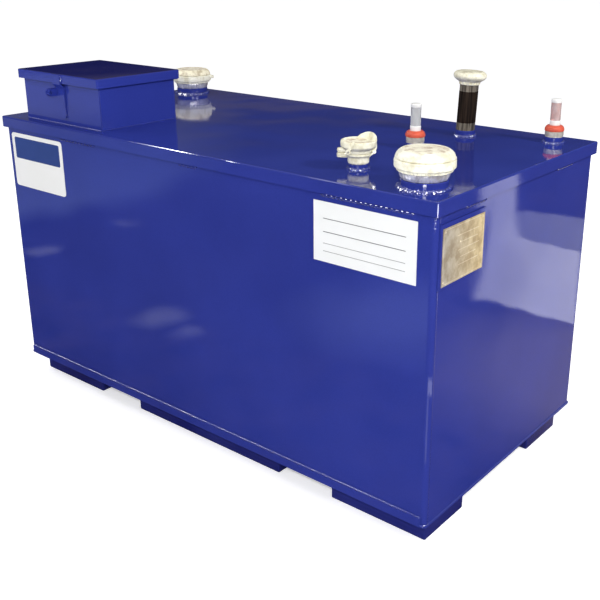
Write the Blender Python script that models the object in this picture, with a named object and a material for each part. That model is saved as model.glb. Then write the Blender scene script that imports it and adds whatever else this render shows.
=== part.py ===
"""Waste oil tank: a rectangular steel tank on six feet, with a locking fill box and its roof fittings.

Metres. The origin is on the ground under the middle of the tank. +X runs to the end that carries the
brass plate, -Y is the long front with the two white signs, +Z is up.
"""
import math

import bmesh
import bpy
from mathutils import Matrix, Vector

# The tank
TANK_LENGTH = 1.829
TANK_WIDTH = 0.930
BODY_HEIGHT = 0.9235
FOOT_HEIGHT = 0.080
SHEET = 0.0034
ROOF_SHEET = 0.0064
ROOF_LIP = 0.038
ROOF_OVERHANG = 0.006
PAN_LIP = 0.028
CORNER_RADIUS = 0.016
SEAT_GAP = 0.0003

# The feet, with two gaps for fork tines between them
FOOT_SHEET = 0.005
FORK_GAP = 0.212
MIDDLE_FOOT_LENGTH = 0.672
END_FOOT_LENGTH = 0.337
FOOT_WIDTH = 0.206
FOOT_ROW_Y = 0.309

# The fill box near the left end
BOX_LID_MIN = (-0.8376, -0.4390)
BOX_LID_MAX = (-0.3960, -0.0880)
BOX_HEIGHT = 0.170
LID_LIP = 0.0306
LID_OVERHANG = 0.0145
HINGE_RADIUS = 0.007
HINGE_PIN_RADIUS = 0.004
HINGE_RUN = 0.0004
KNUCKLE_GAP = 0.001
FILL_NECK_RADIUS = 0.0445
FILL_NECK_HEIGHT = 0.060

# The lock strap on the lid and the two padlock ears
STRAP_X = -0.6110
STRAP_WIDTH = 0.0425
STRAP_LENGTH = 0.148
STRAP_SHEET = 0.005
STRAP_RUN = 0.0012
EAR_DROP = 0.062
EAR_HEIGHT = 0.026
EAR_REACH = 0.022
EAR_SHEET = 0.005
EAR_HOLE_RADIUS = 0.0055

# Where the roof fittings stand, and the weld sockets under them
VENTS = {"left_vent": (-0.8090, 0.3470), "right_vent": (0.8100, -0.3655)}
FILL_CAP = (0.5572, -0.3078)
VENT_PIPE = (0.5440, 0.2855)
GAUGES = {"tank_gauge": (0.5304, 0.0121), "leak_gauge": (0.8160, 0.3670)}
VENT_SOCKET = 0.0230
FILL_CAP_SOCKET = 0.0145
PIPE_SOCKET = 0.0190
GAUGE_SOCKET = 0.0185

# An emergency vent's radii, and its heights above the roof
VENT_SOCKET_RADIUS = 0.0625
VENT_BORE = 0.0505
VENT_NECK_RADIUS = 0.0612
VENT_BAND_RADIUS = 0.0790
VENT_CAP_RADIUS = 0.0775
VENT_PLATEAU_RADIUS = 0.0610
VENT_NECK_TOP = 0.0430
VENT_BAND_LOW = 0.0475
VENT_BAND_HIGH = 0.0755
VENT_CAP_HIGH = 0.0990

# Tops above the roof
PIPE_TOP = 0.164
GAUGE_TOP = 0.136
ROUND_STEPS = 48

# The flat signs
NOTICE_SIGN = (-0.881, -0.588, 0.756, 0.949)
WHITE_SIGN = (0.526, 0.8575, 0.775, 0.943)
SIGN_SHEET = 0.0012
BRASS_PLATE = (-0.4395, -0.2365, 0.777, 0.929)
BACKING_MARGIN = (0.008, 0.012)
BACKING_SHEET = 0.005

# Worked out from the sizes above
ROOF_TOP = FOOT_HEIGHT + BODY_HEIGHT
ROOF_UNDERSIDE = ROOF_TOP - ROOF_SHEET
PAN_FLOOR = FOOT_HEIGHT + SHEET
WALL_HALF_X = TANK_LENGTH / 2 - SHEET - SEAT_GAP
WALL_HALF_Y = TANK_WIDTH / 2 - SHEET - SEAT_GAP
BOX_MIN = (BOX_LID_MIN[0] + LID_OVERHANG, BOX_LID_MIN[1] + LID_OVERHANG)
BOX_MAX = (BOX_LID_MAX[0] - LID_OVERHANG, BOX_LID_MAX[1] - LID_OVERHANG)
LID_TOP = ROOF_TOP + BOX_HEIGHT
BOX_WALL_TOP = LID_TOP - SHEET - SEAT_GAP
BOX_CENTRE = ((BOX_MIN[0] + BOX_MAX[0]) / 2, (BOX_MIN[1] + BOX_MAX[1]) / 2)
HINGE_Y = BOX_LID_MAX[1] + 0.002 + HINGE_RADIUS
HINGE_Z = LID_TOP - LID_LIP
FILL_CAP_TURN = math.radians(38)

BLUE = (0.032, 0.038, 0.265, 1.0)
CAST = (0.66, 0.64, 0.55, 1.0)
BRIGHT = (0.72, 0.72, 0.72, 1.0)
BLACK = (0.028, 0.026, 0.024, 1.0)
RED = (0.75, 0.075, 0.03, 1.0)
WHITE = (0.85, 0.85, 0.84, 1.0)
BRASS = (0.62, 0.47, 0.20, 1.0)
CLEAR = (0.86, 0.88, 0.86, 1.0)


def clear_scene():
    for thing in list(bpy.data.objects):
        bpy.data.objects.remove(thing, do_unlink=True)


def finish(name, colour, roughness, metallic):
    """One Principled material for one piece."""
    material = bpy.data.materials.new(name + "_finish")
    material.use_nodes = True
    shader = material.node_tree.nodes["Principled BSDF"]
    shader.inputs["Base Color"].default_value = colour
    shader.inputs["Roughness"].default_value = roughness
    shader.inputs["Metallic"].default_value = metallic
    return material


FINISHES = {
    "enamel": (BLUE, 0.12, 0.0),
    "cast": (CAST, 0.45, 0.9),
    "bright": (BRIGHT, 0.22, 1.0),
    "black_pipe": (BLACK, 0.35, 0.3),
    "red_plastic": (RED, 0.35, 0.0),
    "clear_plastic": (CLEAR, 0.1, 0.0),
    "white_plate": (WHITE, 0.3, 0.0),
    "brass": (BRASS, 0.35, 0.9),
}


def piece(name, bm, kind, parent=None):
    """Turn a bmesh into a named object with its own material, faces pointing out."""
    bmesh.ops.recalc_face_normals(bm, faces=bm.faces)
    mesh = bpy.data.meshes.new(name)
    bm.to_mesh(mesh)
    bm.free()
    thing = bpy.data.objects.new(name, mesh)
    bpy.context.collection.objects.link(thing)
    thing.data.materials.append(finish(name, *FINISHES[kind]))
    if parent is not None:
        thing.parent = parent
        thing.matrix_parent_inverse = parent.matrix_world.inverted()
    return thing


def pivot(name, place, turn=0.0):
    """An empty on a joint's axis, which the moving pieces hang on."""
    empty = bpy.data.objects.new(name, None)
    empty.location = place
    empty.rotation_euler = (0.0, 0.0, turn)
    bpy.context.collection.objects.link(empty)
    bpy.context.view_layer.update()
    return empty


def block(low, high):
    """A box between two corners."""
    bm = bmesh.new()
    bmesh.ops.create_cube(bm, size=1.0)
    low = Vector(low)
    high = Vector(high)
    size = high - low
    matrix = Matrix.Translation((low + high) / 2) @ Matrix.Diagonal((size.x, size.y, size.z, 1.0))
    bmesh.ops.transform(bm, matrix=matrix, verts=bm.verts)
    return bm


def prism(outline, low, high, axis="Z"):
    """Extrude a closed outline of 2D points between two heights along an axis."""
    bm = bmesh.new()

    def place(u, v, w):
        if axis == "Z":
            return (u, v, w)
        if axis == "Y":
            return (u, w, v)
        return (w, u, v)

    face = bm.faces.new([bm.verts.new(place(u, v, low)) for u, v in outline])
    grown = bmesh.ops.extrude_face_region(bm, geom=[face])
    moved = [e for e in grown["geom"] if isinstance(e, bmesh.types.BMVert)]
    bmesh.ops.translate(bm, verts=moved, vec=Vector(place(0.0, 0.0, high - low)))
    return bm


def arc(centre, radius, start, end, steps):
    """Points on an arc, angles in degrees, both ends included."""
    points = []
    for i in range(steps + 1):
        angle = math.radians(start + (end - start) * i / steps)
        points.append((centre[0] + radius * math.cos(angle), centre[1] + radius * math.sin(angle)))
    return points


def rounded_rectangle(low, high, radius, steps=4):
    """Outline of a rectangle with rounded corners, counterclockwise."""
    points = []
    corners = [
        ((high[0] - radius, low[1] + radius), -90),
        ((high[0] - radius, high[1] - radius), 0),
        ((low[0] + radius, high[1] - radius), 90),
        ((low[0] + radius, low[1] + radius), 180),
    ]
    for centre, start in corners:
        points += arc(centre, radius, start, start + 90, steps)
    return points


def turned(profile, steps=ROUND_STEPS):
    """Spin a closed (radius, height) outline about Z. Points on the axis have radius 0."""
    bm = bmesh.new()
    verts = [bm.verts.new((r, 0.0, z)) for r, z in profile]
    edges = []
    count = len(profile)
    closed = all(r > 0 for r, z in profile)
    for i in range(count if closed else count - 1):
        edges.append(bm.edges.new((verts[i], verts[(i + 1) % count])))
    bmesh.ops.spin(bm, geom=verts + edges, cent=(0, 0, 0), axis=(0, 0, 1),
                   angle=math.radians(360), steps=steps, use_merge=True)
    bmesh.ops.remove_doubles(bm, verts=bm.verts, dist=1e-6)
    return bm


def moved(bm, offset):
    bmesh.ops.translate(bm, verts=bm.verts, vec=Vector(offset))
    return bm


def joined(*meshes):
    """Several closed shapes in one bmesh, for a cutter or for a union."""
    result = bmesh.new()
    for bm in meshes:
        holder = bpy.data.meshes.new("holder")
        bm.to_mesh(holder)
        bm.free()
        result.from_mesh(holder)
        bpy.data.meshes.remove(holder)
    return result


def cutter(name, bm):
    """A shape that only cuts another one."""
    thing = piece(name, bm, "enamel")
    thing.hide_render = True
    thing.hide_viewport = False
    thing.display_type = "WIRE"
    return thing


def combine(thing, other, operation):
    """Cut a shape away from a piece, or weld it on, with an exact Boolean."""
    modifier = thing.modifiers.new(operation.lower(), "BOOLEAN")
    modifier.operation = operation
    modifier.object = other
    modifier.solver = "EXACT"
    return thing


def edge_bevel(thing, width, segments, limit=30):
    """Round the sharp edges of a piece."""
    modifier = thing.modifiers.new("rounding", "BEVEL")
    modifier.width = width
    modifier.segments = segments
    modifier.limit_method = "ANGLE"
    modifier.angle_limit = math.radians(limit)
    return thing


def smooth(thing, degrees=35):
    thing.data.shade_smooth()
    thing.data.set_sharp_from_angle(angle=math.radians(degrees))
    return thing


def bottom_pan():
    """The floor of the tank, with a lip turned up outside the two long walls."""
    half = (TANK_LENGTH / 2, TANK_WIDTH / 2)
    outline = rounded_rectangle((-half[0], -half[1]), half, CORNER_RADIUS)
    pan = piece("bottom_pan", prism(outline, FOOT_HEIGHT, FOOT_HEIGHT + PAN_LIP), "enamel")
    inner = (half[0] - SHEET, half[1] - SHEET)
    hollow = rounded_rectangle((-inner[0], -inner[1]), inner, CORNER_RADIUS - SHEET)
    cut = cutter("bottom_pan_cut", prism(hollow, PAN_FLOOR, FOOT_HEIGHT + 2 * PAN_LIP))
    combine(pan, cut, "DIFFERENCE")
    for side in (-1, 1):
        ends = sorted((side * (half[0] - CORNER_RADIUS), side * (half[0] + 0.01)))
        open_end = block((ends[0], -TANK_WIDTH, PAN_FLOOR), (ends[1], TANK_WIDTH, FOOT_HEIGHT + 2 * PAN_LIP))
        combine(pan, cutter("bottom_pan_end_cut", open_end), "DIFFERENCE")
    return pan


def long_wall(name, side):
    """Front or back sheet, bent round both upright corners. side is -1 for the front."""
    half_x = WALL_HALF_X
    half_y = WALL_HALF_Y
    inside = CORNER_RADIUS - SHEET
    left = (-half_x + CORNER_RADIUS, half_y - CORNER_RADIUS)
    right = (half_x - CORNER_RADIUS, half_y - CORNER_RADIUS)
    outline = arc(right, CORNER_RADIUS, 0, 90, 6) + arc(left, CORNER_RADIUS, 90, 180, 6)
    outline += arc(left, inside, 180, 90, 6) + arc(right, inside, 90, 0, 6)
    outline = [(x, y * side) for x, y in outline]
    bm = prism(outline, PAN_FLOOR + SEAT_GAP, ROOF_UNDERSIDE - SEAT_GAP)
    return smooth(piece(name, bm, "enamel"))


def end_wall(name, side):
    """Flat end sheet between the bent corners. side is +1 for the end with the brass plate."""
    reach = WALL_HALF_Y - CORNER_RADIUS - SEAT_GAP
    outer = side * WALL_HALF_X
    inner = side * (WALL_HALF_X - SHEET)
    low = (min(outer, inner), -reach, PAN_FLOOR + SEAT_GAP)
    high = (max(outer, inner), reach, ROOF_UNDERSIDE - SEAT_GAP)
    return piece(name, block(low, high), "enamel")


def roof():
    """The roof plate, with a lip turned down over the walls and a hole under each open fitting."""
    half = (TANK_LENGTH / 2 + ROOF_OVERHANG, TANK_WIDTH / 2 + ROOF_OVERHANG)
    fold = 0.006
    plate = prism(rounded_rectangle((-half[0], -half[1]), half, fold), ROOF_TOP - ROOF_LIP, ROOF_TOP)
    top_edges = [e for e in plate.edges if all(abs(v.co.z - ROOF_TOP) < 1e-6 for v in e.verts)]
    bmesh.ops.bevel(plate, geom=top_edges, offset=fold * 0.75, segments=3, profile=0.5, affect="EDGES")
    thing = piece("roof", plate, "enamel")
    inner = (half[0] - ROOF_SHEET, half[1] - ROOF_SHEET)
    hollow = block((-inner[0], -inner[1], ROOF_TOP - 2 * ROOF_LIP), (inner[0], inner[1], ROOF_UNDERSIDE))
    combine(thing, cutter("roof_hollow", hollow), "DIFFERENCE")
    holes = {
        "left_vent": (VENTS["left_vent"], VENT_BORE),
        "right_vent": (VENTS["right_vent"], VENT_BORE),
        "fill_cap": (FILL_CAP, 0.0195),
        "vent_pipe": (VENT_PIPE, 0.0262),
        "fill_neck": (BOX_CENTRE, FILL_NECK_RADIUS - 0.004),
    }
    for label, (place, radius) in holes.items():
        profile = [(0.0, ROOF_TOP - ROOF_LIP), (radius, ROOF_TOP - ROOF_LIP), (radius, ROOF_TOP + 0.02),
                   (0.0, ROOF_TOP + 0.02)]
        hole = moved(turned(profile, 32), (place[0], place[1], 0.0))
        combine(thing, cutter("roof_hole_" + label, hole), "DIFFERENCE")
    return thing


def foot(name, centre_x, length, side):
    """A folded steel foot, open at the top under the tank's floor."""
    low = (centre_x - length / 2, side * FOOT_ROW_Y - FOOT_WIDTH / 2, 0.0)
    high = (centre_x + length / 2, side * FOOT_ROW_Y + FOOT_WIDTH / 2, FOOT_HEIGHT - SEAT_GAP)
    outside = block(low, high)
    rounded = [e for e in outside.edges if any(v.co.z < 1e-6 for v in e.verts)]
    bmesh.ops.bevel(outside, geom=rounded, offset=0.004, segments=2, profile=0.5, affect="EDGES")
    thing = piece(name, outside, "enamel")
    inside_low = (low[0] + FOOT_SHEET, low[1] + FOOT_SHEET, FOOT_SHEET)
    inside_high = (high[0] - FOOT_SHEET, high[1] - FOOT_SHEET, FOOT_HEIGHT * 2)
    combine(thing, cutter(name + "_cut", block(inside_low, inside_high)), "DIFFERENCE")
    return thing


def feet():
    middle = MIDDLE_FOOT_LENGTH / 2 + FORK_GAP + END_FOOT_LENGTH / 2
    places = {"left": (-middle, END_FOOT_LENGTH), "middle": (0.0, MIDDLE_FOOT_LENGTH),
              "right": (middle, END_FOOT_LENGTH)}
    for row, side in (("front", -1), ("rear", 1)):
        for label, (centre_x, length) in places.items():
            foot("foot_" + row + "_" + label, centre_x, length, side)


def fill_box():
    """Four walls of sheet that stand on the roof round the fill neck."""
    low_z = ROOF_TOP + SEAT_GAP
    side_low = BOX_MIN[1] + SHEET + SEAT_GAP
    side_high = BOX_MAX[1] - SHEET - SEAT_GAP
    front = piece("fill_box_front", block((BOX_MIN[0], BOX_MIN[1], low_z),
                                          (BOX_MAX[0], BOX_MIN[1] + SHEET, BOX_WALL_TOP)), "enamel")
    ear_right = STRAP_X - STRAP_WIDTH / 2 - 0.0055
    ear = padlock_ear(ear_right - EAR_SHEET, ear_right, BOX_MIN[1] + SHEET / 2)
    combine(front, cutter("box_ear", ear), "UNION")
    combine(front, cutter("box_ear_hole", ear_hole(ear_right - 0.02, ear_right + 0.02)), "DIFFERENCE")
    rear = piece("fill_box_rear", block((BOX_MIN[0], BOX_MAX[1] - SHEET, low_z),
                                         (BOX_MAX[0], BOX_MAX[1], BOX_WALL_TOP)), "enamel")
    piece("fill_box_left", block((BOX_MIN[0], side_low, low_z),
                                 (BOX_MIN[0] + SHEET, side_high, BOX_WALL_TOP)), "enamel")
    piece("fill_box_right", block((BOX_MAX[0] - SHEET, side_low, low_z),
                                  (BOX_MAX[0], side_high, BOX_WALL_TOP)), "enamel")
    neck = [(FILL_NECK_RADIUS - 0.004, ROOF_TOP + SEAT_GAP), (FILL_NECK_RADIUS, ROOF_TOP + SEAT_GAP),
            (FILL_NECK_RADIUS, ROOF_TOP + FILL_NECK_HEIGHT),
            (FILL_NECK_RADIUS - 0.004, ROOF_TOP + FILL_NECK_HEIGHT)]
    bm = moved(turned(neck, 32), (BOX_CENTRE[0], BOX_CENTRE[1], 0.0))
    smooth(piece("fill_neck", bm, "enamel"))
    return rear


def knuckle_spans():
    """Stretches of the hinge along X: fixed knuckles at the odd places, lid knuckles between them."""
    length = BOX_MAX[0] - BOX_MIN[0] - 0.02
    start = BOX_MIN[0] + 0.01
    count = 5
    pitch = length / count
    return [(start + i * pitch + KNUCKLE_GAP / 2, start + (i + 1) * pitch - KNUCKLE_GAP / 2)
            for i in range(count)]


def knuckle(span, root_y, side):
    """A hinge barrel along X with a flat tab from its top (side +1) or its underside (side -1)."""
    radius = HINGE_RADIUS
    near = math.degrees(math.asin(0.003 / radius))
    far = math.degrees(math.asin(0.0065 / radius))
    points = [(root_y, HINGE_Z + 0.003)]
    points += arc((HINGE_Y, HINGE_Z), radius, 180 - near, 540 - far, 23)
    points += [(root_y, HINGE_Z + 0.0065)]
    if side < 0:
        points = [(y, 2 * HINGE_Z - z) for y, z in points]
    return prism(points, span[0], span[1], axis="X")


def fill_lid(box_rear):
    """The lid with its turned-down lip, both halves of the hinge, its pin, and the lock strap."""
    hinge = pivot("fill_lid_hinge", (BOX_CENTRE[0], HINGE_Y, HINGE_Z))
    outline = rounded_rectangle(BOX_LID_MIN, BOX_LID_MAX, 0.005, 3)
    bm = prism(outline, LID_TOP - LID_LIP, LID_TOP)
    top_edges = [e for e in bm.edges if all(abs(v.co.z - LID_TOP) < 1e-6 for v in e.verts)]
    bmesh.ops.bevel(bm, geom=top_edges, offset=0.0035, segments=2, profile=0.5, affect="EDGES")
    lid = piece("fill_lid", bm, "enamel", hinge)
    hollow = block((BOX_LID_MIN[0] + SHEET, BOX_LID_MIN[1] + SHEET, LID_TOP - 2 * LID_LIP),
                   (BOX_LID_MAX[0] - SHEET, BOX_LID_MAX[1] - SHEET, LID_TOP - SHEET))
    combine(lid, cutter("fill_lid_hollow", hollow), "DIFFERENCE")
    spans = knuckle_spans()
    for number, span in enumerate(spans):
        on_lid = number % 2 == 1
        root = BOX_LID_MAX[1] - SHEET / 2 if on_lid else BOX_MAX[1] - SHEET / 2
        shape = cutter("hinge_knuckle_" + str(number), knuckle(span, root, 1 if on_lid else -1))
        combine(lid if on_lid else box_rear, shape, "UNION")
    bore = cutter("hinge_bore", hinge_rod(HINGE_PIN_RADIUS + HINGE_RUN, spans[0][0] - 0.01, spans[-1][1] + 0.01))
    combine(lid, bore, "DIFFERENCE")
    combine(box_rear, bore, "DIFFERENCE")
    pin = hinge_rod(HINGE_PIN_RADIUS, spans[0][0] - 0.003, spans[-1][1] + 0.003)
    smooth(piece("fill_lid_hinge_pin", pin, "bright"))
    lock_strap(hinge)


def hinge_rod(radius, low, high):
    """A round rod along the hinge line."""
    return prism(arc((HINGE_Y, HINGE_Z), radius, 0, 345, 23), low, high, axis="X")


def lock_strap(hinge):
    """A bar on the lid's front lip, bent back under the lip to the box, with an ear beside the box's ear."""
    back = BOX_LID_MIN[1] - SEAT_GAP
    front = back - STRAP_SHEET
    low_back = BOX_MIN[1] - STRAP_RUN
    low_front = low_back - STRAP_SHEET
    low_z = LID_TOP - STRAP_LENGTH
    bend = LID_TOP - LID_LIP - 0.001
    left = STRAP_X - STRAP_WIDTH / 2
    right = STRAP_X + STRAP_WIDTH / 2
    step_back = low_back - back
    outline = [(back, LID_TOP - 0.001), (back, bend), (low_back, bend - step_back), (low_back, low_z),
               (low_front, low_z), (low_front, bend - 0.002 - step_back), (front, bend - 0.002),
               (front, LID_TOP - 0.001)]
    bar = prism(outline, left, right, axis="X")
    edges = [e for e in bar.edges if abs(e.verts[0].co.y - e.verts[1].co.y) > 0.001
             and all(v.co.z < low_z + 0.001 for v in e.verts)]
    bmesh.ops.bevel(bar, geom=edges, offset=0.008, segments=3, profile=0.5, affect="EDGES")
    strap = piece("lock_strap", bar, "enamel", hinge)
    strap_ear = padlock_ear(left, left + EAR_SHEET, low_front + 0.001)
    combine(strap, cutter("strap_ear", strap_ear), "UNION")
    combine(strap, cutter("strap_ear_hole", ear_hole(left - 0.02, left + 0.02)), "DIFFERENCE")


EAR_FRONT = BOX_LID_MIN[1] - SEAT_GAP - STRAP_SHEET - EAR_REACH
EAR_MIDDLE = LID_TOP - EAR_DROP


def padlock_ear(low_x, high_x, back_y):
    """An upright plate that sticks out to the front, its outer end rounded."""
    radius = EAR_HEIGHT / 2
    outline = [(back_y, EAR_MIDDLE + radius)] + arc((EAR_FRONT + radius, EAR_MIDDLE), radius, 90, 270, 8)
    outline += [(back_y, EAR_MIDDLE - radius)]
    return prism(outline, low_x, high_x, axis="X")


def ear_hole(low_x, high_x):
    """The round way for a padlock's bow through the ears."""
    centre = (EAR_FRONT + 0.011, EAR_MIDDLE)
    return prism(arc(centre, EAR_HOLE_RADIUS, 0, 337.5, 15), low_x, high_x, axis="X")


def tube_profile(inner, outer, low, high):
    return [(inner, low), (outer, low), (outer, high), (inner, high)]


def weld_socket(name, place, bore, radius, height):
    """A short round socket welded on the roof."""
    base = ROOF_TOP + SEAT_GAP
    top = ROOF_TOP + height
    profile = [(bore, base), (radius, base), (radius, top - 0.002), (radius - 0.002, top), (bore, top)]
    bm = moved(turned(profile), (place[0], place[1], 0.0))
    return smooth(piece(name, bm, "enamel"))


def emergency_vent(name, place):
    """A cast bowl screwed into its socket, and a loose cap that lifts when pressure builds up."""
    weld_socket(name + "_socket", place, VENT_BORE, VENT_SOCKET_RADIUS, VENT_SOCKET)
    seat = ROOF_TOP + VENT_SOCKET + SEAT_GAP
    neck_top = ROOF_TOP + VENT_NECK_TOP
    band_low = ROOF_TOP + VENT_BAND_LOW
    band_high = ROOF_TOP + VENT_BAND_HIGH
    cap_high = ROOF_TOP + VENT_CAP_HIGH
    inner = VENT_BORE - 0.002
    bowl = [(inner, seat), (VENT_NECK_RADIUS, seat), (VENT_NECK_RADIUS - 0.0010, neck_top - 0.001),
            (VENT_NECK_RADIUS + 0.0015, neck_top), (VENT_BAND_RADIUS - 0.0095, band_low),
            (VENT_BAND_RADIUS - 0.0075, band_low + 0.002), (VENT_BAND_RADIUS, band_low + 0.010),
            (VENT_BAND_RADIUS, band_high - 0.003), (VENT_BAND_RADIUS - 0.003, band_high), (inner, band_high)]
    smooth(piece(name + "_bowl", moved(turned(bowl), (place[0], place[1], 0.0)), "cast"))
    lift = pivot(name + "_lift", (place[0], place[1], band_high))
    low = band_high + SEAT_GAP
    guide = inner - 0.003
    shoulder = VENT_PLATEAU_RADIUS + 0.3 * (VENT_CAP_RADIUS - VENT_PLATEAU_RADIUS)
    cap = [(0.0, low - 0.012), (guide, low - 0.012), (guide, low), (VENT_CAP_RADIUS - 0.001, low),
           (VENT_CAP_RADIUS, low + 0.001), (VENT_CAP_RADIUS - 0.001, low + 0.45 * (cap_high - low)),
           (shoulder, cap_high - 0.003), (VENT_PLATEAU_RADIUS, cap_high - 0.0006),
           (VENT_PLATEAU_RADIUS - 0.004, cap_high), (0.0, cap_high)]
    smooth(piece(name + "_cap", moved(turned(cap), (place[0], place[1], 0.0)), "cast", lift))


def fill_cap():
    """A locking cap on a small socket: a cast ring with a lock lug, and a wide lid hinged at the far side."""
    x, y = FILL_CAP
    weld_socket("fill_cap_socket", FILL_CAP, 0.0195, 0.0275, FILL_CAP_SOCKET)
    turn = Matrix.Translation((x, y, 0.0)) @ Matrix.Rotation(FILL_CAP_TURN, 4, "Z")

    def set_up(bm):
        bmesh.ops.transform(bm, matrix=turn, verts=bm.verts)
        return bm

    seat = ROOF_TOP + FILL_CAP_SOCKET + SEAT_GAP
    bore = 0.0175
    ring_top = seat + 0.030
    ring = [(bore, seat), (0.0270, seat), (0.0292, seat + 0.003), (0.0297, seat + 0.019),
            (0.0345, seat + 0.0225), (0.0355, seat + 0.0245), (0.0355, ring_top), (bore, ring_top)]
    thing = smooth(piece("fill_cap_ring", set_up(turned(ring, 40)), "cast"))
    lug_low = seat + 0.016
    lug_x = -0.050
    lug = prism([(-0.026, -0.009)] + arc((lug_x, 0.0), 0.009, -90, -270, 8) + [(-0.026, 0.009)],
                lug_low, ring_top)
    hinge_x = 0.0425
    barrel = 0.0055
    hinge_z = ring_top + 0.004
    combine(thing, cutter("ring_lug", set_up(lug)), "UNION")
    for side in (-1, 1):
        outline = [(0.027, lug_low), (0.0385, hinge_z - barrel - 0.001)]
        outline += arc((hinge_x, hinge_z), barrel, -60, 180, 8) + [(0.0345, ring_top - 0.001)]
        low = side * 0.013 - 0.003
        ear = cutter("ring_hinge_ear", set_up(prism(outline, low, low + 0.006, axis="Y")))
        combine(thing, ear, "UNION")
    pin_cut = prism(arc((hinge_x, hinge_z), 0.0024, 0, 345, 23), -0.03, 0.03, axis="Y")
    pin_bore = cutter("fill_cap_pin_bore", set_up(pin_cut))
    combine(thing, pin_bore, "DIFFERENCE")

    hinge = pivot("fill_cap_hinge", turn @ Vector((hinge_x, 0.0, hinge_z)), FILL_CAP_TURN)
    low = ring_top + SEAT_GAP
    top = low + 0.0395
    head = [(0.0, low - 0.006), (bore - 0.002, low - 0.006), (bore - 0.002, low), (0.0325, low),
            (0.0340, low + 0.002), (0.0340, low + 0.0105), (0.0440, low + 0.0155), (0.0460, low + 0.0185),
            (0.0460, low + 0.030), (0.0430, low + 0.034), (0.0370, low + 0.0385), (0.0330, top), (0.0, top)]
    lid = smooth(piece("fill_cap_lid", set_up(turned(head, 40)), "cast", hinge))
    tongue = [(0.0320, low + 0.012), (0.0360, low + 0.022), (0.0500, low + 0.022), (0.0500, hinge_z + 0.010)]
    tongue += arc((hinge_x, hinge_z), barrel, 20, -180, 8) + [(0.0295, low + 0.006)]
    combine(lid, cutter("lid_tongue", set_up(prism(tongue, -0.0085, 0.0085, axis="Y"))), "UNION")
    block_top = top + 0.013
    raised = [(0.0055, top - 0.003), (0.0070, block_top - 0.001), (0.0085, block_top), (0.0500, block_top),
              (0.0530, block_top - 0.003), (0.0536, low + 0.026), (0.0510, low + 0.0205),
              (0.0300, low + 0.0205)]
    combine(lid, cutter("lid_block", set_up(prism(raised, -0.017, 0.017, axis="Y"))), "UNION")
    front_lug = prism([(-0.028, -0.009)] + arc((lug_x, 0.0), 0.009, -90, -270, 8) + [(-0.028, 0.009)],
                      low + 0.0005, low + 0.0125)
    combine(lid, cutter("lid_lug", set_up(front_lug)), "UNION")
    combine(lid, pin_bore, "DIFFERENCE")
    lock_way = moved(turned([(0.0, lug_low - 0.01), (0.0038, lug_low - 0.01), (0.0038, low + 0.013),
                             (0.0, low + 0.013)], 16), (lug_x, 0.0, 0.0))
    lock_hole = cutter("fill_cap_lock_hole", set_up(lock_way))
    combine(lid, lock_hole, "DIFFERENCE")
    combine(thing, lock_hole, "DIFFERENCE")
    pin = prism(arc((hinge_x, hinge_z), 0.0021, 0, 345, 23), -0.018, 0.018, axis="Y")
    smooth(piece("fill_cap_pin", set_up(pin), "bright"))


def vent_pipe():
    """A black screwed pipe with a cast mushroom cap."""
    x, y = VENT_PIPE
    weld_socket("vent_pipe_socket", VENT_PIPE, 0.0262, 0.0325, PIPE_SOCKET)
    low = ROOF_TOP + PIPE_SOCKET + SEAT_GAP
    high = ROOF_TOP + PIPE_TOP
    smooth(piece("vent_pipe", moved(turned(tube_profile(0.0262, 0.0304, low, high)), (x, y, 0.0)), "black_pipe"))
    seat = high + SEAT_GAP
    profile = [(0.0, seat), (0.0325, seat), (0.0340, seat + 0.003), (0.0355, seat + 0.008),
               (0.0400, seat + 0.0135), (0.0490, seat + 0.024), (0.0529, seat + 0.031), (0.0525, seat + 0.036),
               (0.0480, seat + 0.041), (0.0400, seat + 0.0437), (0.0200, seat + 0.0457), (0.0, seat + 0.046)]
    smooth(piece("vent_pipe_cap", moved(turned(profile), (x, y, 0.0)), "cast"))


def float_gauge(name, place):
    """A level gauge: socket, metal bushing, red collar and a clear upright vial."""
    x, y = place
    weld_socket(name + "_socket", place, 0.012, 0.0290, GAUGE_SOCKET)
    low = ROOF_TOP + GAUGE_SOCKET + SEAT_GAP
    bushing_top = low + 0.0172
    bushing = [(0.0, low), (0.0285, low), (0.0298, low + 0.002), (0.0298, bushing_top - 0.001),
               (0.0290, bushing_top), (0.0, bushing_top)]
    smooth(piece(name + "_bushing", moved(turned(bushing, 40), (x, y, 0.0)), "bright"))
    base = bushing_top + SEAT_GAP
    top = base + 0.0177
    collar = [(0.0, base), (0.0300, base), (0.0303, base + 0.008), (0.0285, base + 0.013),
              (0.0240, top), (0.0, top)]
    smooth(piece(name + "_collar", moved(turned(collar, 40), (x, y, 0.0)), "red_plastic"))
    foot_z = top + SEAT_GAP
    head_z = ROOF_TOP + GAUGE_TOP
    vial = [(0.0, foot_z), (0.0163, foot_z), (0.0163, head_z - 0.003), (0.0145, head_z), (0.0, head_z)]
    smooth(piece(name + "_vial", moved(turned(vial, 40), (x, y, 0.0)), "clear_plastic"))


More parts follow.
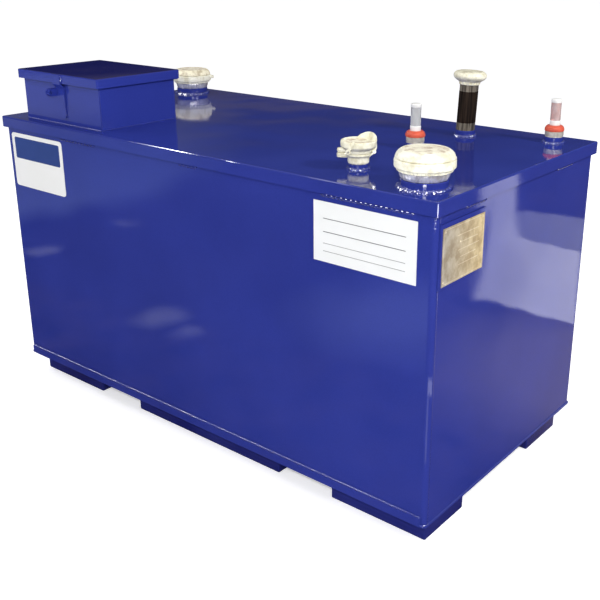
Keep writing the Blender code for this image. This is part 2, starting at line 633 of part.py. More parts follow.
def signs():
    """Two white plates on the front, and the brass plate on its painted backing."""
    front = -WALL_HALF_Y - SEAT_GAP
    for name, (x0, x1, z0, z1), radius in (("notice_sign", NOTICE_SIGN, 0.012), ("white_sign", WHITE_SIGN, 0.0)):
        if radius:
            outline = rounded_rectangle((x0, z0), (x1, z1), radius)
        else:
            outline = [(x0, z0), (x1, z0), (x1, z1), (x0, z1)]
        piece(name, prism(outline, front - SIGN_SHEET, front, axis="Y"), "white_plate")
    wall = WALL_HALF_X + SEAT_GAP
    y0, y1, z0, z1 = BRASS_PLATE
    side, top = BACKING_MARGIN
    piece("brass_plate_backing", block((wall, y0 - side, z0 - side), (wall + BACKING_SHEET, y1 + side, z1 + top)),
          "enamel")
    face = wall + BACKING_SHEET + SEAT_GAP
    piece("brass_plate", block((face, y0, z0), (face + SIGN_SHEET, y1, z1)), "brass")


def build():
    clear_scene()
    bottom_pan()
    long_wall("front_wall", -1)
    long_wall("rear_wall", 1)
    end_wall("right_end_wall", 1)
    end_wall("left_end_wall", -1)
    roof()
    feet()
    fill_lid(fill_box())
    for name, place in VENTS.items():
        emergency_vent(name, place)
    fill_cap()
    vent_pipe()
    for name, place in GAUGES.items():
        float_gauge(name, place)
    signs()


build()
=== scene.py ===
# %% [markdown]
# # A waste oil tank in glossy blue enamel
# This lesson dresses a finished metal tank: paint, welds, cast fittings, gauges and signs. The solid
# shapes come packed in one model. Each step below says what the real piece is, how it could be made in
# Blender, and why it is made this way. All sizes are in metres, the front looks towards -Y, and +Z is up.

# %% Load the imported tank
import math
import random

import bmesh
import bpy
from mathutils import Matrix, Vector


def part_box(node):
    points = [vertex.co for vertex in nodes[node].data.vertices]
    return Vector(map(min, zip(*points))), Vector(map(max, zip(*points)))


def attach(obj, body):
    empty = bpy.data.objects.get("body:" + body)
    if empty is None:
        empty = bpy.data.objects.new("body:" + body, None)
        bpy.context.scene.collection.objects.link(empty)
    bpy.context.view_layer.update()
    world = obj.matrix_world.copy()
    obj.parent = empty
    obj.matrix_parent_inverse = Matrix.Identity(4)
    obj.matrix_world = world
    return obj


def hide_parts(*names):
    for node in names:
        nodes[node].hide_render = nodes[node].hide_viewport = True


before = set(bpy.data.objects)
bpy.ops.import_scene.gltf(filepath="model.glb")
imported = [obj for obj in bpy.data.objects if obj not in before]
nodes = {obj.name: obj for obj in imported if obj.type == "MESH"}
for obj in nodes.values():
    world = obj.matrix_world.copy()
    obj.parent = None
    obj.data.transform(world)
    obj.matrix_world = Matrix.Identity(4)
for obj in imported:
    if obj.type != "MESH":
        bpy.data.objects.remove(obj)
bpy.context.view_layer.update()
roof_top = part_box("roof")[1].z
print("nodes:", len(nodes), "roof at", round(roof_top, 4), "m")

# %% [markdown]
# ## The tools for shapes
# Nearly every fitting on this roof was turned or cast round, so the first tool spins a list of
# (radius, height) points about an upright line. Blender's Screw modifier would do that too. Building the
# rings by hand is chosen because a second function can then change the radius with the angle, which gives
# flutes, flats and knurls without any cutting. Profiles are written in millimetres, as on a drawing.

# %% Spin a profile, with an optional change of radius round the turn
def turned(profile, steps=72, change=None):
    bm = bmesh.new()
    rings = []
    for radius, height in profile:
        if radius <= 0:
            rings.append([bm.verts.new((0, 0, height / 1000))] * steps)
            continue
        ring = []
        for step in range(steps):
            angle = math.tau * step / steps
            r = (change(angle, radius, height) if change else radius) / 1000
            ring.append(bm.verts.new((r * math.cos(angle), r * math.sin(angle), height / 1000)))
        rings.append(ring)
    closed = profile[0][0] > 0 and profile[-1][0] > 0
    for i in range(len(rings) - (0 if closed else 1)):
        low, high = rings[i], rings[(i + 1) % len(rings)]
        for step in range(steps):
            corners = [low[step], low[(step + 1) % steps], high[(step + 1) % steps], high[step]]
            loop = list(dict.fromkeys(corners))
            if len(loop) > 2:
                bm.faces.new(loop)
    bmesh.ops.recalc_face_normals(bm, faces=bm.faces)
    return bm


print("the spinning tool is ready")

# %% [markdown]
# A real casting has no knife-sharp corners. Each corner of a profile can be replaced by a short arc, and
# the arc then catches a thin line of light. A Bevel modifier rounds finished meshes in the same way.
# Rounding the drawing first keeps the number of faces known.

# %% Round the corners of a profile
def softened(profile, radius, steps=3):
    points = [profile[0]]
    for before, corner, after in zip(profile, profile[1:], profile[2:]):
        corner = Vector(corner)
        back, ahead = Vector(before) - corner, Vector(after) - corner
        reach = min(radius, back.length * 0.45, ahead.length * 0.45)
        start, end = corner + back.normalized() * reach, corner + ahead.normalized() * reach
        for i in range(steps + 1):
            t = i / steps
            point = start * (1 - t) ** 2 + corner * 2 * t * (1 - t) + end * t ** 2
            points.append((point.x, point.y))
    points.append(profile[-1])
    return points


print("a square corner becomes", len(softened([(0, 0), (10, 0), (10, 10)], 2)) - 2, "points")

# %% [markdown]
# Flat pieces, such as lugs, plates and printed fields, are an outline with a thickness. An outline is
# pushed along Z here and then turned to where it belongs, which is what Extrude does in Edit Mode. A thin
# bevel all round stops the edges from looking like cut paper.

# %% Give an outline a thickness, and round its edges
def plate(outline, low, high, bevel=0.0):
    bm = bmesh.new()
    face = bm.faces.new([bm.verts.new((x / 1000, y / 1000, low / 1000)) for x, y in outline])
    grown = bmesh.ops.extrude_face_region(bm, geom=[face])
    top = [v for v in grown["geom"] if isinstance(v, bmesh.types.BMVert)]
    bmesh.ops.translate(bm, verts=top, vec=(0, 0, (high - low) / 1000))
    if bevel:
        bmesh.ops.recalc_face_normals(bm, faces=bm.faces)
        edges = [e for e in bm.edges if abs(e.verts[0].co.z - e.verts[1].co.z) < 1e-7]
        bmesh.ops.bevel(bm, geom=edges, offset=bevel / 1000, segments=2, profile=0.6, affect="EDGES")
    bmesh.ops.recalc_face_normals(bm, faces=bm.faces)
    return bm


def arc(cx, cy, radius, start, end, steps):
    turns = [math.radians(start + (end - start) * i / steps) for i in range(steps + 1)]
    return [(cx + radius * math.cos(t), cy + radius * math.sin(t)) for t in turns]


def rounded_field(x0, y0, x1, y1, radius, steps=6):
    corners = [(x1 - radius, y0 + radius, -90), (x1 - radius, y1 - radius, 0),
               (x0 + radius, y1 - radius, 90), (x0 + radius, y0 + radius, 180)]
    points = []
    for cx, cy, start in corners:
        points += arc(cx, cy, radius, start, start + 90, steps)
    return points


print("a rounded field has", len(rounded_field(0, 0, 10, 10, 2)), "corner points")

# %% [markdown]
# Every finished mesh becomes an object in the same way: it is put in its place, shaded smooth except at
# sharp edges, given its finish, and tied to the part of the tank it moves with. One function for this
# keeps the later cells short.

# %% Turn a mesh into a piece of the tank
def joined(*meshes):
    whole = bmesh.new()
    for bm in meshes:
        holder = bpy.data.meshes.new("holder")
        bm.to_mesh(holder)
        bm.free()
        whole.from_mesh(holder)
        bpy.data.meshes.remove(holder)
    return whole


def shifted(bm, x=0.0, y=0.0, z=0.0, turn=0.0, tip=None):
    place = Matrix.Translation((x / 1000, y / 1000, z / 1000)) @ Matrix.Rotation(math.radians(turn), 4, "Z")
    if tip:
        place = place @ Matrix.Rotation(math.radians(tip[0]), 4, tip[1])
    bmesh.ops.transform(bm, matrix=place, verts=bm.verts)
    return bm


made = {}


def fitted(name, bm, finish, body="tank", at=(0, 0, 0), sharp=38, stands_for=()):
    mesh = bpy.data.meshes.new(name)
    bmesh.ops.translate(bm, verts=bm.verts, vec=at)
    bm.to_mesh(mesh)
    bm.free()
    mesh.shade_smooth()
    mesh.set_sharp_from_angle(angle=math.radians(sharp))
    piece = bpy.data.objects.new(name, mesh)
    bpy.context.scene.collection.objects.link(piece)
    for finish_part in (finish if isinstance(finish, (list, tuple)) else [finish]):
        mesh.materials.append(finish_part)
    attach(piece, body)
    if stands_for:
        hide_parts(*stands_for)
    made[name] = sum(len(face.vertices) - 2 for face in mesh.polygons)
    return piece


print("the fitting tool is ready")

# %% [markdown]
# ## The tools for finishes
# A finish is a small network of nodes, and nearly every one starts from a cloud of noise in the object's
# own space. Pictures could be painted for each piece instead, but noise needs no file and no unwrapping.
# Object space is in metres here, so a scale of 200 always means grains about five millimetres wide.

# %% Start a finish, and make clouds of noise
def new_finish(name, roughness, metallic=0.0, **sockets):
    finish = bpy.data.materials.new(name)
    finish.use_nodes = True
    shader = finish.node_tree.nodes["Principled BSDF"]
    shader.inputs["Roughness"].default_value = roughness
    shader.inputs["Metallic"].default_value = metallic
    for socket, value in sockets.items():
        shader.inputs[socket.replace("_", " ")].default_value = value
    return finish, finish.node_tree, shader


def place_of(tree, stretch=(1, 1, 1)):
    space = tree.nodes.new("ShaderNodeTexCoord")
    if tuple(stretch) == (1, 1, 1):
        return space.outputs["Object"]
    mapping = tree.nodes.new("ShaderNodeMapping")
    mapping.inputs["Scale"].default_value = stretch
    tree.links.new(space.outputs["Object"], mapping.inputs["Vector"])
    return mapping.outputs["Vector"]


def cloud(tree, scale, detail=3.0, stretch=(1, 1, 1), harshness=0.5):
    node = tree.nodes.new("ShaderNodeTexNoise")
    node.inputs["Scale"].default_value = scale
    node.inputs["Detail"].default_value = detail
    node.inputs["Roughness"].default_value = harshness
    tree.links.new(place_of(tree, stretch), node.inputs["Vector"])
    return node.outputs["Fac"]


print("clouds of noise are ready")

# %% [markdown]
# A cloud is only a number between zero and one. A ramp turns it into colours, a range turns it into a
# roughness, a mix lays one colour over another, and a bump turns it into tiny hills. The last tool plugs
# the results into the shader, so that each finish below can end in one line.

# %% Turn clouds into colour, shine and hills
def colours(tree, factor, stops):
    ramp = tree.nodes.new("ShaderNodeValToRGB")
    for i, (position, colour) in enumerate(stops):
        stop = ramp.color_ramp.elements[i] if i < 2 else ramp.color_ramp.elements.new(position)
        stop.position = position
        stop.color = (*colour, 1.0)
    tree.links.new(factor, ramp.inputs["Fac"])
    return ramp.outputs["Color"]


def ranged(tree, factor, low, high, start=0.3, end=0.7):
    node = tree.nodes.new("ShaderNodeMapRange")
    for socket, value in (("From Min", start), ("From Max", end), ("To Min", low), ("To Max", high)):
        node.inputs[socket].default_value = value
    tree.links.new(factor, node.inputs["Value"])
    return node.outputs["Result"]


def blended(tree, factor, first, second, way="MIX"):
    node = tree.nodes.new("ShaderNodeMix")
    node.data_type = "RGBA"
    node.blend_type = way
    sockets = node.inputs["Factor"], node.inputs[6], node.inputs[7]
    for socket, value in zip(sockets, (factor, first, second)):
        if isinstance(value, bpy.types.NodeSocket):
            tree.links.new(value, socket)
        elif isinstance(value, tuple):
            socket.default_value = (*value, 1.0)
        else:
            socket.default_value = value
    return node.outputs[2]


def hills(tree, height, distance, strength=1.0, under=None):
    node = tree.nodes.new("ShaderNodeBump")
    node.inputs["Strength"].default_value = strength
    node.inputs["Distance"].default_value = distance
    tree.links.new(height, node.inputs["Height"])
    if under is not None:
        tree.links.new(under, node.inputs["Normal"])
    return node.outputs["Normal"]


def plugged(tree, shader, colour, roughness=None, skin=None):
    for socket, output in (("Base Color", colour), ("Roughness", roughness), ("Normal", skin)):
        if output is not None:
            tree.links.new(output, shader.inputs[socket])


print("the finish tools are ready")

# %% [markdown]
# ### Blue enamel
# The tank is sprayed with a thick glossy enamel, almost a mirror. Sprayed enamel is never quite flat: it
# has the fine dimples called orange peel, and the sheet under it waves a little, so reflections wander. A
# clear coat layer could give the gloss, but a low roughness on the paint itself does the same with less
# noise. Very soft clouds shift the blue, and others dull the gloss where hands and dust have been. The top
# of the fill box's lid is painted a darker blue as shade, so that finish also looks at its own height and
# deepens above it.

# %% Mix the blue enamel
PURE_WHITE = (1.0, 1.0, 1.0)
DEEP_BLUE, FULL_BLUE = (0.0210, 0.0320, 0.216), (0.0260, 0.0395, 0.258)
PAINTED_SHADE_BLUE = (0.0110, 0.0135, 0.150)


def blue_enamel(name, dark=DEEP_BLUE, light=FULL_BLUE, wave=1.0, gloss=(0.020, 0.065), shade_above=None,
                shine=0.5, bend=1.5):
    finish, tree, shader = new_finish("blue_enamel_" + name, 0.07, Specular_IOR_Level=shine, IOR=bend)
    tone = colours(tree, cloud(tree, 2.2, 4.0), [(0.32, dark), (0.68, light)])
    speck = colours(tree, cloud(tree, 320.0, 2.0), [(0.3, (0.90, 0.90, 0.93)), (0.7, PURE_WHITE)])
    coat = blended(tree, 1.0, tone, speck, "MULTIPLY")
    # Painted shade: above this height the colour turns to a darker blue, standing in for light that falls off
    # there.
    if shade_above is not None:
        height = tree.nodes.new("ShaderNodeSeparateXYZ")
        tree.links.new(place_of(tree), height.inputs["Vector"])
        shaded_top = ranged(tree, height.outputs["Z"], 0.0, 1.0, shade_above, shade_above + 0.001)
        coat = blended(tree, shaded_top, coat, PAINTED_SHADE_BLUE)
    haze = ranged(tree, cloud(tree, 5.5, 5.0, harshness=0.62), gloss[0], gloss[1], 0.38, 0.72)
    waves = hills(tree, cloud(tree, 3.1, 1.0), 0.010 * wave, 0.5)
    orange_peel = hills(tree, cloud(tree, 170.0, 2.0), 0.00016, 0.5, under=waves)
    plugged(tree, shader, coat, haze, orange_peel)
    return finish


tank_blue = blue_enamel("sheet")
print("the paint of the big sheets:", tank_blue.name)

# %% [markdown]
# One paint looks different on every part of a tank. Small stiff fittings carry it without the waves of the
# big sheets. Over a weld it is rougher. On the roof's thick beads its index of refraction is set above that
# of real enamel, because their glints are smaller than a pixel and would be lost otherwise. The fill box's
# blue is paler, the feet are a darker, duller blue, and thin seams hardly shine.

# %% Mix the other coats of this tank
BOX_BLUES = (0.0235, 0.0370, 0.262), (0.0285, 0.0445, 0.300)
FOOT_BLUES = (0.0100, 0.0120, 0.110), (0.0220, 0.0300, 0.200)
small_blue = blue_enamel("fittings", wave=0.0)
weld_blue = blue_enamel("over_weld", wave=0.0, gloss=(0.07, 0.13), shine=1.0)
bead_blue = blue_enamel("over_fresh_bead", wave=0.0, gloss=(0.06, 0.11), shine=1.0, bend=1.9)
box_blue = blue_enamel("fill_box", *BOX_BLUES, wave=0.0)
lid_blue = blue_enamel("fill_lid", *BOX_BLUES, wave=0.3, shade_above=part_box("fill_lid")[1].z - 0.002)
foot_blue = blue_enamel("feet", *FOOT_BLUES, gloss=(0.10, 0.22))
dull_seam = blue_enamel("thin_seam", wave=0.0, gloss=(0.30, 0.45), shine=0.2)
print("more blue finishes:", small_blue.name, weld_blue.name, bead_blue.name, dull_seam.name)

# %% [markdown]
# The sheets, the feet, the box and the sockets are already there as solids, so they only change their
# finish. It is simplest to go by their names, because those say what each solid is.

# %% Paint the sheet metal that is already there
for name in ("bottom_pan", "front_wall", "rear_wall", "left_end_wall", "right_end_wall", "roof"):
    nodes[name].data.materials[0] = tank_blue
for name in nodes:
    if name.startswith("foot_"):
        nodes[name].data.materials[0] = foot_blue
    elif name.startswith(("fill_box_", "fill_neck", "lock_strap")):
        nodes[name].data.materials[0] = box_blue
    elif name.endswith("_socket"):
        nodes[name].data.materials[0] = small_blue
nodes["brass_plate_backing"].data.materials[0] = small_blue
nodes["fill_lid"].data.materials[0] = lid_blue
painted = [name for name in nodes if nodes[name].data.materials[0].name.startswith("blue_enamel")]
print("painted:", len(painted), "nodes")

# %% [markdown]
# ### Cast aluminium and machined metal
# The vent bowls and caps are sand castings: pale, a little creamy, with a fine pebbled skin and grey dirt
# in the low places. Their oxide skin scatters light as chalk does, so they are hardly metallic at all.
# Their screwed necks were cut on a lathe, so they are bright, with rings so fine that they blur the light
# round the piece. A wave texture could draw each ring. Noise squeezed flat in Z does it more simply,
# because it makes thin level bands of uneven shine.

# %% Cast and machined metals
def cast_metal(name, pale, grey, patches=38.0):
    finish, tree, shader = new_finish(name, 0.4, 0.04, Specular_IOR_Level=0.10)
    body = colours(tree, cloud(tree, patches, 5.0, harshness=0.6), [(0.36, grey), (0.56, pale)])
    sand = hills(tree, cloud(tree, 900.0, 3.0), 0.00022, 0.55)
    dents = hills(tree, cloud(tree, 110.0, 2.0), 0.0004, 0.3, under=sand)
    plugged(tree, shader, body, ranged(tree, cloud(tree, 90.0, 3.0), 0.42, 0.62), dents)
    return finish


def machined_metal(name, pale, grey, rough, metallic):
    finish, tree, shader = new_finish(name, 0.2, metallic)
    body = colours(tree, cloud(tree, 55.0, 4.0), [(0.35, grey), (0.62, pale)])
    rings = cloud(tree, 1.0, 2.0, stretch=(30.0, 30.0, 2600.0))
    plugged(tree, shader, body, ranged(tree, rings, *rough), hills(tree, rings, 0.00006, 0.6))
    return finish


cast_cream = cast_metal("cast_aluminium", (0.89, 0.87, 0.73), (0.67, 0.63, 0.47))
# This finish is dirt in the vents' grooves and painted shade in the fill cap's dish.
cast_dull = cast_metal("cast_aluminium_with_dirt_and_shade", (0.86, 0.82, 0.66), (0.47, 0.35, 0.25), 42.0)
cast_grey = cast_metal("cast_aluminium_weathered", (0.93, 0.87, 0.66), (0.58, 0.50, 0.34), 45.0)
cast_pale = cast_metal("cast_aluminium_pale", (0.87, 0.84, 0.67), (0.67, 0.63, 0.45), 50.0)
cast_olive = cast_metal("cast_aluminium_olive", (0.72, 0.69, 0.53), (0.50, 0.46, 0.33), 60.0)
bright_neck = machined_metal("machined_neck", (0.97, 0.96, 0.94), (0.62, 0.60, 0.60), (0.12, 0.24), 0.60)
grey_bushing = machined_metal("bushing_metal", (0.60, 0.56, 0.47), (0.40, 0.37, 0.31), (0.34, 0.50), 0.25)
print("metals:", cast_cream.name, cast_dull.name, bright_neck.name, grey_bushing.name)

# %% [markdown]
# ### Black pipe
# The vent pipe is ordinary black pipe. Its lacquer is dark brown to black and satin, with long streaks
# along the pipe. Noise stretched in Z gives such streaks, because a small scale in one direction pulls
# every speck into a line. The cut threads at both ends are bare grey metal with oil in them.

# %% Black pipe lacquer and bare thread
def streaked_pipe(name, dark, warm, rough, metallic=0.0):
    finish, tree, shader = new_finish(name, rough, metallic, Specular_IOR_Level=0.03)
    streaks = cloud(tree, 1.0, 4.0, stretch=(210.0, 210.0, 9.0))
    satin = ranged(tree, streaks, rough - 0.08, rough + 0.12)
    scale_marks = hills(tree, cloud(tree, 260.0, 3.0), 0.0002, 0.35)
    plugged(tree, shader, colours(tree, streaks, [(0.38, dark), (0.66, warm)]), satin, scale_marks)
    return finish


black_lacquer = streaked_pipe("black_pipe_lacquer", (0.007, 0.005, 0.004), (0.030, 0.019, 0.013), 0.50)
bare_thread = streaked_pipe("bare_pipe_thread", (0.085, 0.072, 0.058), (0.30, 0.27, 0.22), 0.38, 0.6)
print("pipe finishes:", black_lacquer.name, bare_thread.name)

# %% [markdown]
# ### Plastics of the gauges
# A float gauge has a moulded red collar and a clear tube. The red has fine clouds in its colour, as moulded
# plastic has, and a soft gloss. Clear plastic lets light through by the shader's transmission. These tubes
# are slightly milky, so the transmission stays well under one. A tube also needs real things inside it to
# look like anything, so it gets an inner stem and two white ends.

# %% Red, white and clear plastic
def moulded(name, colour, deep, rough):
    finish, tree, shader = new_finish(name, rough, Specular_IOR_Level=0.22)
    tint = colours(tree, cloud(tree, 60.0, 3.0), [(0.3, deep), (0.7, colour)])
    gloss = ranged(tree, cloud(tree, 140.0, 2.0), rough - 0.06, rough + 0.08)
    plugged(tree, shader, tint, gloss, hills(tree, cloud(tree, 500.0, 2.0), 0.00005, 0.4))
    return finish


def clear_plastic(name, thick, thin):
    finish, tree, shader = new_finish(name, 0.12, Transmission_Weight=0.62, IOR=1.22)
    plugged(tree, shader, colours(tree, cloud(tree, 40.0, 2.0), [(0.3, thick), (0.7, thin)]))
    return finish


red_collar = moulded("red_plastic_collar", (0.70, 0.125, 0.065), (0.60, 0.080, 0.045), 0.30)
white_end = moulded("white_plastic_ends", (0.88, 0.88, 0.85), (0.78, 0.77, 0.72), 0.35)
float_stem = moulded("float_stem", (0.30, 0.060, 0.050), (0.16, 0.040, 0.034), 0.45)
pale_stem = moulded("pale_float_stem", (0.78, 0.78, 0.74), (0.55, 0.55, 0.50), 0.40)
clear_vial = clear_plastic("clear_vial_plastic", (0.90, 0.91, 0.89), (0.97, 0.97, 0.95))
pink_vial = clear_plastic("clear_vial_with_red_tinge", (0.93, 0.66, 0.62), (0.99, 0.84, 0.81))
print("plastics:", red_collar.name, white_end.name, clear_vial.name, pink_vial.name)

# %% [markdown]
# ### Sheets and inks of the signs
# The signs are printed sheets with a smooth white face and a soft gloss. The shine has to be even: a
# cloud with more contrast in its roughness would show as blotches on a white field.

# %% White sheet and printed inks
def printed(name, colour, tint, rough=0.42):
    finish, tree, shader = new_finish(name, rough, Specular_IOR_Level=0.3)
    face = colours(tree, cloud(tree, 9.0, 5.0), [(0.3, tint), (0.62, colour)])
    gloss = ranged(tree, cloud(tree, 30.0, 4.0), rough, rough + 0.06)
    plugged(tree, shader, face, gloss, hills(tree, cloud(tree, 420.0, 2.0), 0.00004, 0.3))
    return finish


notice_sheet = printed("notice_sign_sheet", (0.82, 0.82, 0.81), (0.80, 0.80, 0.78))
white_sheet = printed("white_sign_sheet", (0.76, 0.77, 0.77), (0.74, 0.75, 0.74))
blue_ink = printed("blue_sign_ink", (0.020, 0.052, 0.23), (0.017, 0.046, 0.20), 0.4)
grey_ink = printed("grey_sign_ink", (0.10, 0.10, 0.11), (0.16, 0.16, 0.16))
print("sign finishes:", notice_sheet.name, white_sheet.name, blue_ink.name, grey_ink.name)

# %% [markdown]
# ### Brass
# The plate on the end wall is brass that is greyer towards its front edge and stained in blotches. Three
# layers make it: the grey comes in with the place along the plate, a broad cloud lays the blotches, and
# noise that is finer along the plate than up it gives an upright grain. They are multiplied, because
# stains only darken.

# %% Stained brass
def stained_brass(name, golden, greyish, brown):
    finish, tree, shader = new_finish(name, 0.35, 0.30)
    low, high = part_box("brass_plate")
    place = tree.nodes.new("ShaderNodeSeparateXYZ")
    tree.links.new(place_of(tree), place.inputs["Vector"])
    golden_towards_rear = ranged(tree, place.outputs["Y"], 0.0, 1.0, low.y, high.y - 0.02)
    metal = blended(tree, golden_towards_rear, greyish, golden)
    stain = colours(tree, cloud(tree, 24.0, 5.0, harshness=0.62), [(0.40, brown), (0.58, PURE_WHITE)])
    streaks = cloud(tree, 1.0, 5.0, stretch=(1.0, 60.0, 26.0), harshness=0.66)
    grain = colours(tree, streaks, [(0.34, (0.78, 0.75, 0.70)), (0.62, PURE_WHITE)])
    aged = blended(tree, 1.0, blended(tree, 1.0, metal, stain, "MULTIPLY"), grain, "MULTIPLY")
    plugged(tree, shader, aged, ranged(tree, streaks, 0.28, 0.5), hills(tree, streaks, 0.00012, 0.5))
    return finish


brass_face = stained_brass("stained_brass", (0.74, 0.60, 0.33), (0.48, 0.44, 0.37), (0.70, 0.64, 0.56))
brass_mark = stained_brass("brass_marks", (0.84, 0.74, 0.52), (0.70, 0.62, 0.50), (0.86, 0.81, 0.74))
print("brass finishes:", brass_face.name, brass_mark.name)

# %% [markdown]
# ## Weld beads
# The tank is welded from sheets, so every joint has a bead: a small round fillet with ripples, one for
# each time the molten pool froze. A bead is made here as a fan of points that runs along the joint. The
# fan swells and shrinks in short steps, and its middle lags behind its edges, which gives the curved
# scales of a real bead. A curve with a bevel would be quicker, but it would be smooth, and it is the
# ripples that break the light into glints.

# %% Lay a rippled bead along a joint
RIPPLE, STEPS_A_RIPPLE, FAN_POINTS = 0.0034, 4, 5
SINK, LAG = 0.0001, 0.45
THIN_END, GAIN_A_STEP = 0.35, 0.22


def skinned(bm, rows, closed=False):
    """Closes rows of points, each one an outline, into one skin, with a cap at both ends."""
    count = len(rows[0])
    for i in range(len(rows) - (0 if closed else 1)):
        here, there = rows[i], rows[(i + 1) % len(rows)]
        for k in range(count):
            bm.faces.new([here[k], here[(k + 1) % count], there[(k + 1) % count], there[k]])
    if not closed:
        bm.faces.new(rows[0])
        bm.faces.new(rows[-1])
    bmesh.ops.recalc_face_normals(bm, faces=bm.faces)
    return bm


def bead(path, size, seed, closed=False, spread=90, flat=1.0, depth=0.17, steps=STEPS_A_RIPPLE, uneven=0.10):
    """path holds (point, along one sheet, along the other) triples, a few to each ripple."""
    dice = random.Random(seed)
    swell = [1 + dice.uniform(-uneven, uneven) for _ in range(len(path) // steps + 2)]
    if closed:
        swell[-1] = swell[-2] = swell[0]
    bm = bmesh.new()
    rows = []
    for i, (point, first, second) in enumerate(path):
        row = [bm.verts.new(point - (first + second) * SINK * 2)] if spread == 90 else []
        share = (i / steps) % 1
        slow = swell[i // steps] * (1 - share) + swell[i // steps + 1] * share
        ending = 1.0 if closed else min(1.0, THIN_END + GAIN_A_STEP * min(i, len(path) - 1 - i))
        for k in range(FAN_POINTS):
            turn = math.radians(spread * k / (FAN_POINTS - 1))
            lag = LAG * steps * math.sin(math.pi * k / (FAN_POINTS - 1))
            wave = abs(math.sin(math.pi * (i + lag) / steps))
            reach = size * slow * ending * (1.03 - depth + depth * wave)
            row.append(bm.verts.new(point + first * (math.cos(turn) * reach - SINK)
                                    + second * (math.sin(turn) * reach * flat - SINK)))
        rows.append(row)
    return skinned(bm, rows, closed)


print("a bead has", FAN_POINTS, "points across and", STEPS_A_RIPPLE, "rows to a ripple")

# %% [markdown]
# A bead needs a path: points in the joint, and at each point the two directions in which the sheets lead
# away. A straight joint keeps the same two directions, and on a ring one of them turns with the path. The
# beads of one place are joined into one piece, which keeps the list of objects short.

# %% Draw the paths of beads, and weld
UP = (0, 0, 1)


def straight(start, end, first, second, ripple=RIPPLE, steps=STEPS_A_RIPPLE):
    start, end, first, second = Vector(start), Vector(end), Vector(first), Vector(second)
    rows = max(6, round((end - start).length / ripple * steps))
    return [(start.lerp(end, i / rows), first, second) for i in range(rows + 1)]


def round_path(centre, radius, z, start=0.0, end=360.0, ripple=RIPPLE, steps=STEPS_A_RIPPLE):
    rows = max(2, round(math.radians(abs(end - start)) * radius / ripple)) * steps
    points = []
    for i in range(rows if abs(end - start) >= 360 else rows + 1):
        t = math.radians(start + (end - start) * i / rows)
        out = Vector((math.cos(t), math.sin(t), 0))
        points.append((Vector((*centre, z)) + out * radius, out, Vector(UP)))
    return points


def seam(start, end, first, second, size, seed, ripple=RIPPLE, steps=STEPS_A_RIPPLE, **kind):
    return bead(straight(start, end, first, second, ripple, steps), size, seed, steps=steps, **kind)


def welded(name, beads, finish, body="tank"):
    fitted(name, joined(*beads), finish, body=body, sharp=80)


print("a socket's bead has", len(round_path((0, 0), 0.058, 0)), "rows")

# %% [markdown]
# ### The beads on the roof
# Each socket stands on the roof in a full ring of weld. It was laid by hand in big slow puddles, so its
# ripples are long soft lumps, and they catch broad glints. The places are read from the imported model, so a
# bead always lies in its joint.

# %% Weld the sockets to the roof
def middle_of(node):
    low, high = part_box(node)
    return (low.x + high.x) / 2, (low.y + high.y) / 2, (high.x - low.x) / 2


BIG_RIPPLE, BIG_STEPS = 0.0115, 8
WIDE_SOCKET, WIDE_BEAD, NARROW_BEAD = 0.05, 0.0100, 0.0080
for number, name in enumerate(sorted(node for node in nodes if node.endswith("_socket"))):
    x, y, radius = middle_of(name)
    size = WIDE_BEAD if radius > WIDE_SOCKET else NARROW_BEAD
    path = round_path((x, y), radius, roof_top, ripple=BIG_RIPPLE, steps=BIG_STEPS)
    ring = bead(path, size, 10 + number, closed=True, flat=0.8, depth=0.20, steps=BIG_STEPS, uneven=0.22)
    welded(name + "_weld", [ring], bead_blue)
print("socket welds:", sum(made.values()), "triangles")

# %% [markdown]
# The fill box has a thin bead all round its foot and one down each corner. They are far smaller than the
# beads on the sockets, because thin sheet would burn through under a big one.

# %% Weld the fill box
SHEET, SEAM_GAP = 0.0034, 0.0003
box_x0, box_x1 = [place.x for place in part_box("fill_box_front")]
side_low, side_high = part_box("fill_box_left")
box_y0, box_y1 = side_low.y - SHEET - SEAM_GAP, side_high.y + SHEET + SEAM_GAP
box_corners = [(box_x0, box_y0), (box_x1, box_y0), (box_x1, box_y1), (box_x0, box_y1)]
around = []
for number, out in enumerate(((0, -1, 0), (1, 0, 0), (0, 1, 0), (-1, 0, 0))):
    start, end = box_corners[number], box_corners[(number + 1) % 4]
    around.append(seam((*start, roof_top), (*end, roof_top), out, UP, 0.0026, 30 + number, flat=0.8))
welded("fill_box_foot_weld", around, dull_seam)

lid_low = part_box("fill_lid_hinge_pin")[0].z - 0.004
corners = []
for x, outward in ((box_x0, -1), (box_x1, 1)):
    for y, inward in ((box_y0, 1), (box_y1, -1)):
        y += inward * (SHEET + 0.0002)
        corners.append(seam((x, y, roof_top + 0.004), (x, y, lid_low), (0, 1, 0), (outward, 0, 0),
                            0.0022, 50 + len(corners), spread=180, flat=0.3))
welded("fill_box_corner_welds", corners, dull_seam)
print("box welds:", made["fill_box_foot_weld"] + made["fill_box_corner_welds"], "triangles")

# %% [markdown]
# ### The beads on the body
# The long walls stand in the bottom pan, and a continuous bead lies on top of the pan's turned-up lip. At
# the ends it lies on the floor's edge and turns round the bent corners.

# %% Weld the pan
wall_y, wall_x = abs(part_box("front_wall")[0].y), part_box("right_end_wall")[1].x
pan_low, pan_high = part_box("bottom_pan")
BEND = 0.016
QUARTERS = {(1, 1): 0, (-1, 1): 90, (-1, -1): 180, (1, -1): 270}
lip_end, floor_top = pan_high.x - BEND, pan_low.z + SHEET
pan_beads = []
for facing in (-1, 1):
    y, z = facing * wall_y, pan_high.z
    pan_beads.append(seam((-lip_end, y, z), (lip_end, y, z), (0, facing, 0), UP, 0.0037, 60 + facing))
for facing in (-1, 1):
    x, y = facing * wall_x, wall_y - BEND
    pan_beads.append(seam((x, -y, floor_top), (x, y, floor_top), (facing, 0, 0), UP, 0.0034, 70 + facing))
    for back in (-1, 1):
        centre, start = (facing * (wall_x - BEND), back * y), QUARTERS[facing, back]
        pan_beads.append(bead(round_path(centre, BEND, floor_top, start, start + 90), 0.0034, 80))
welded("pan_seam_weld", pan_beads, weld_blue)
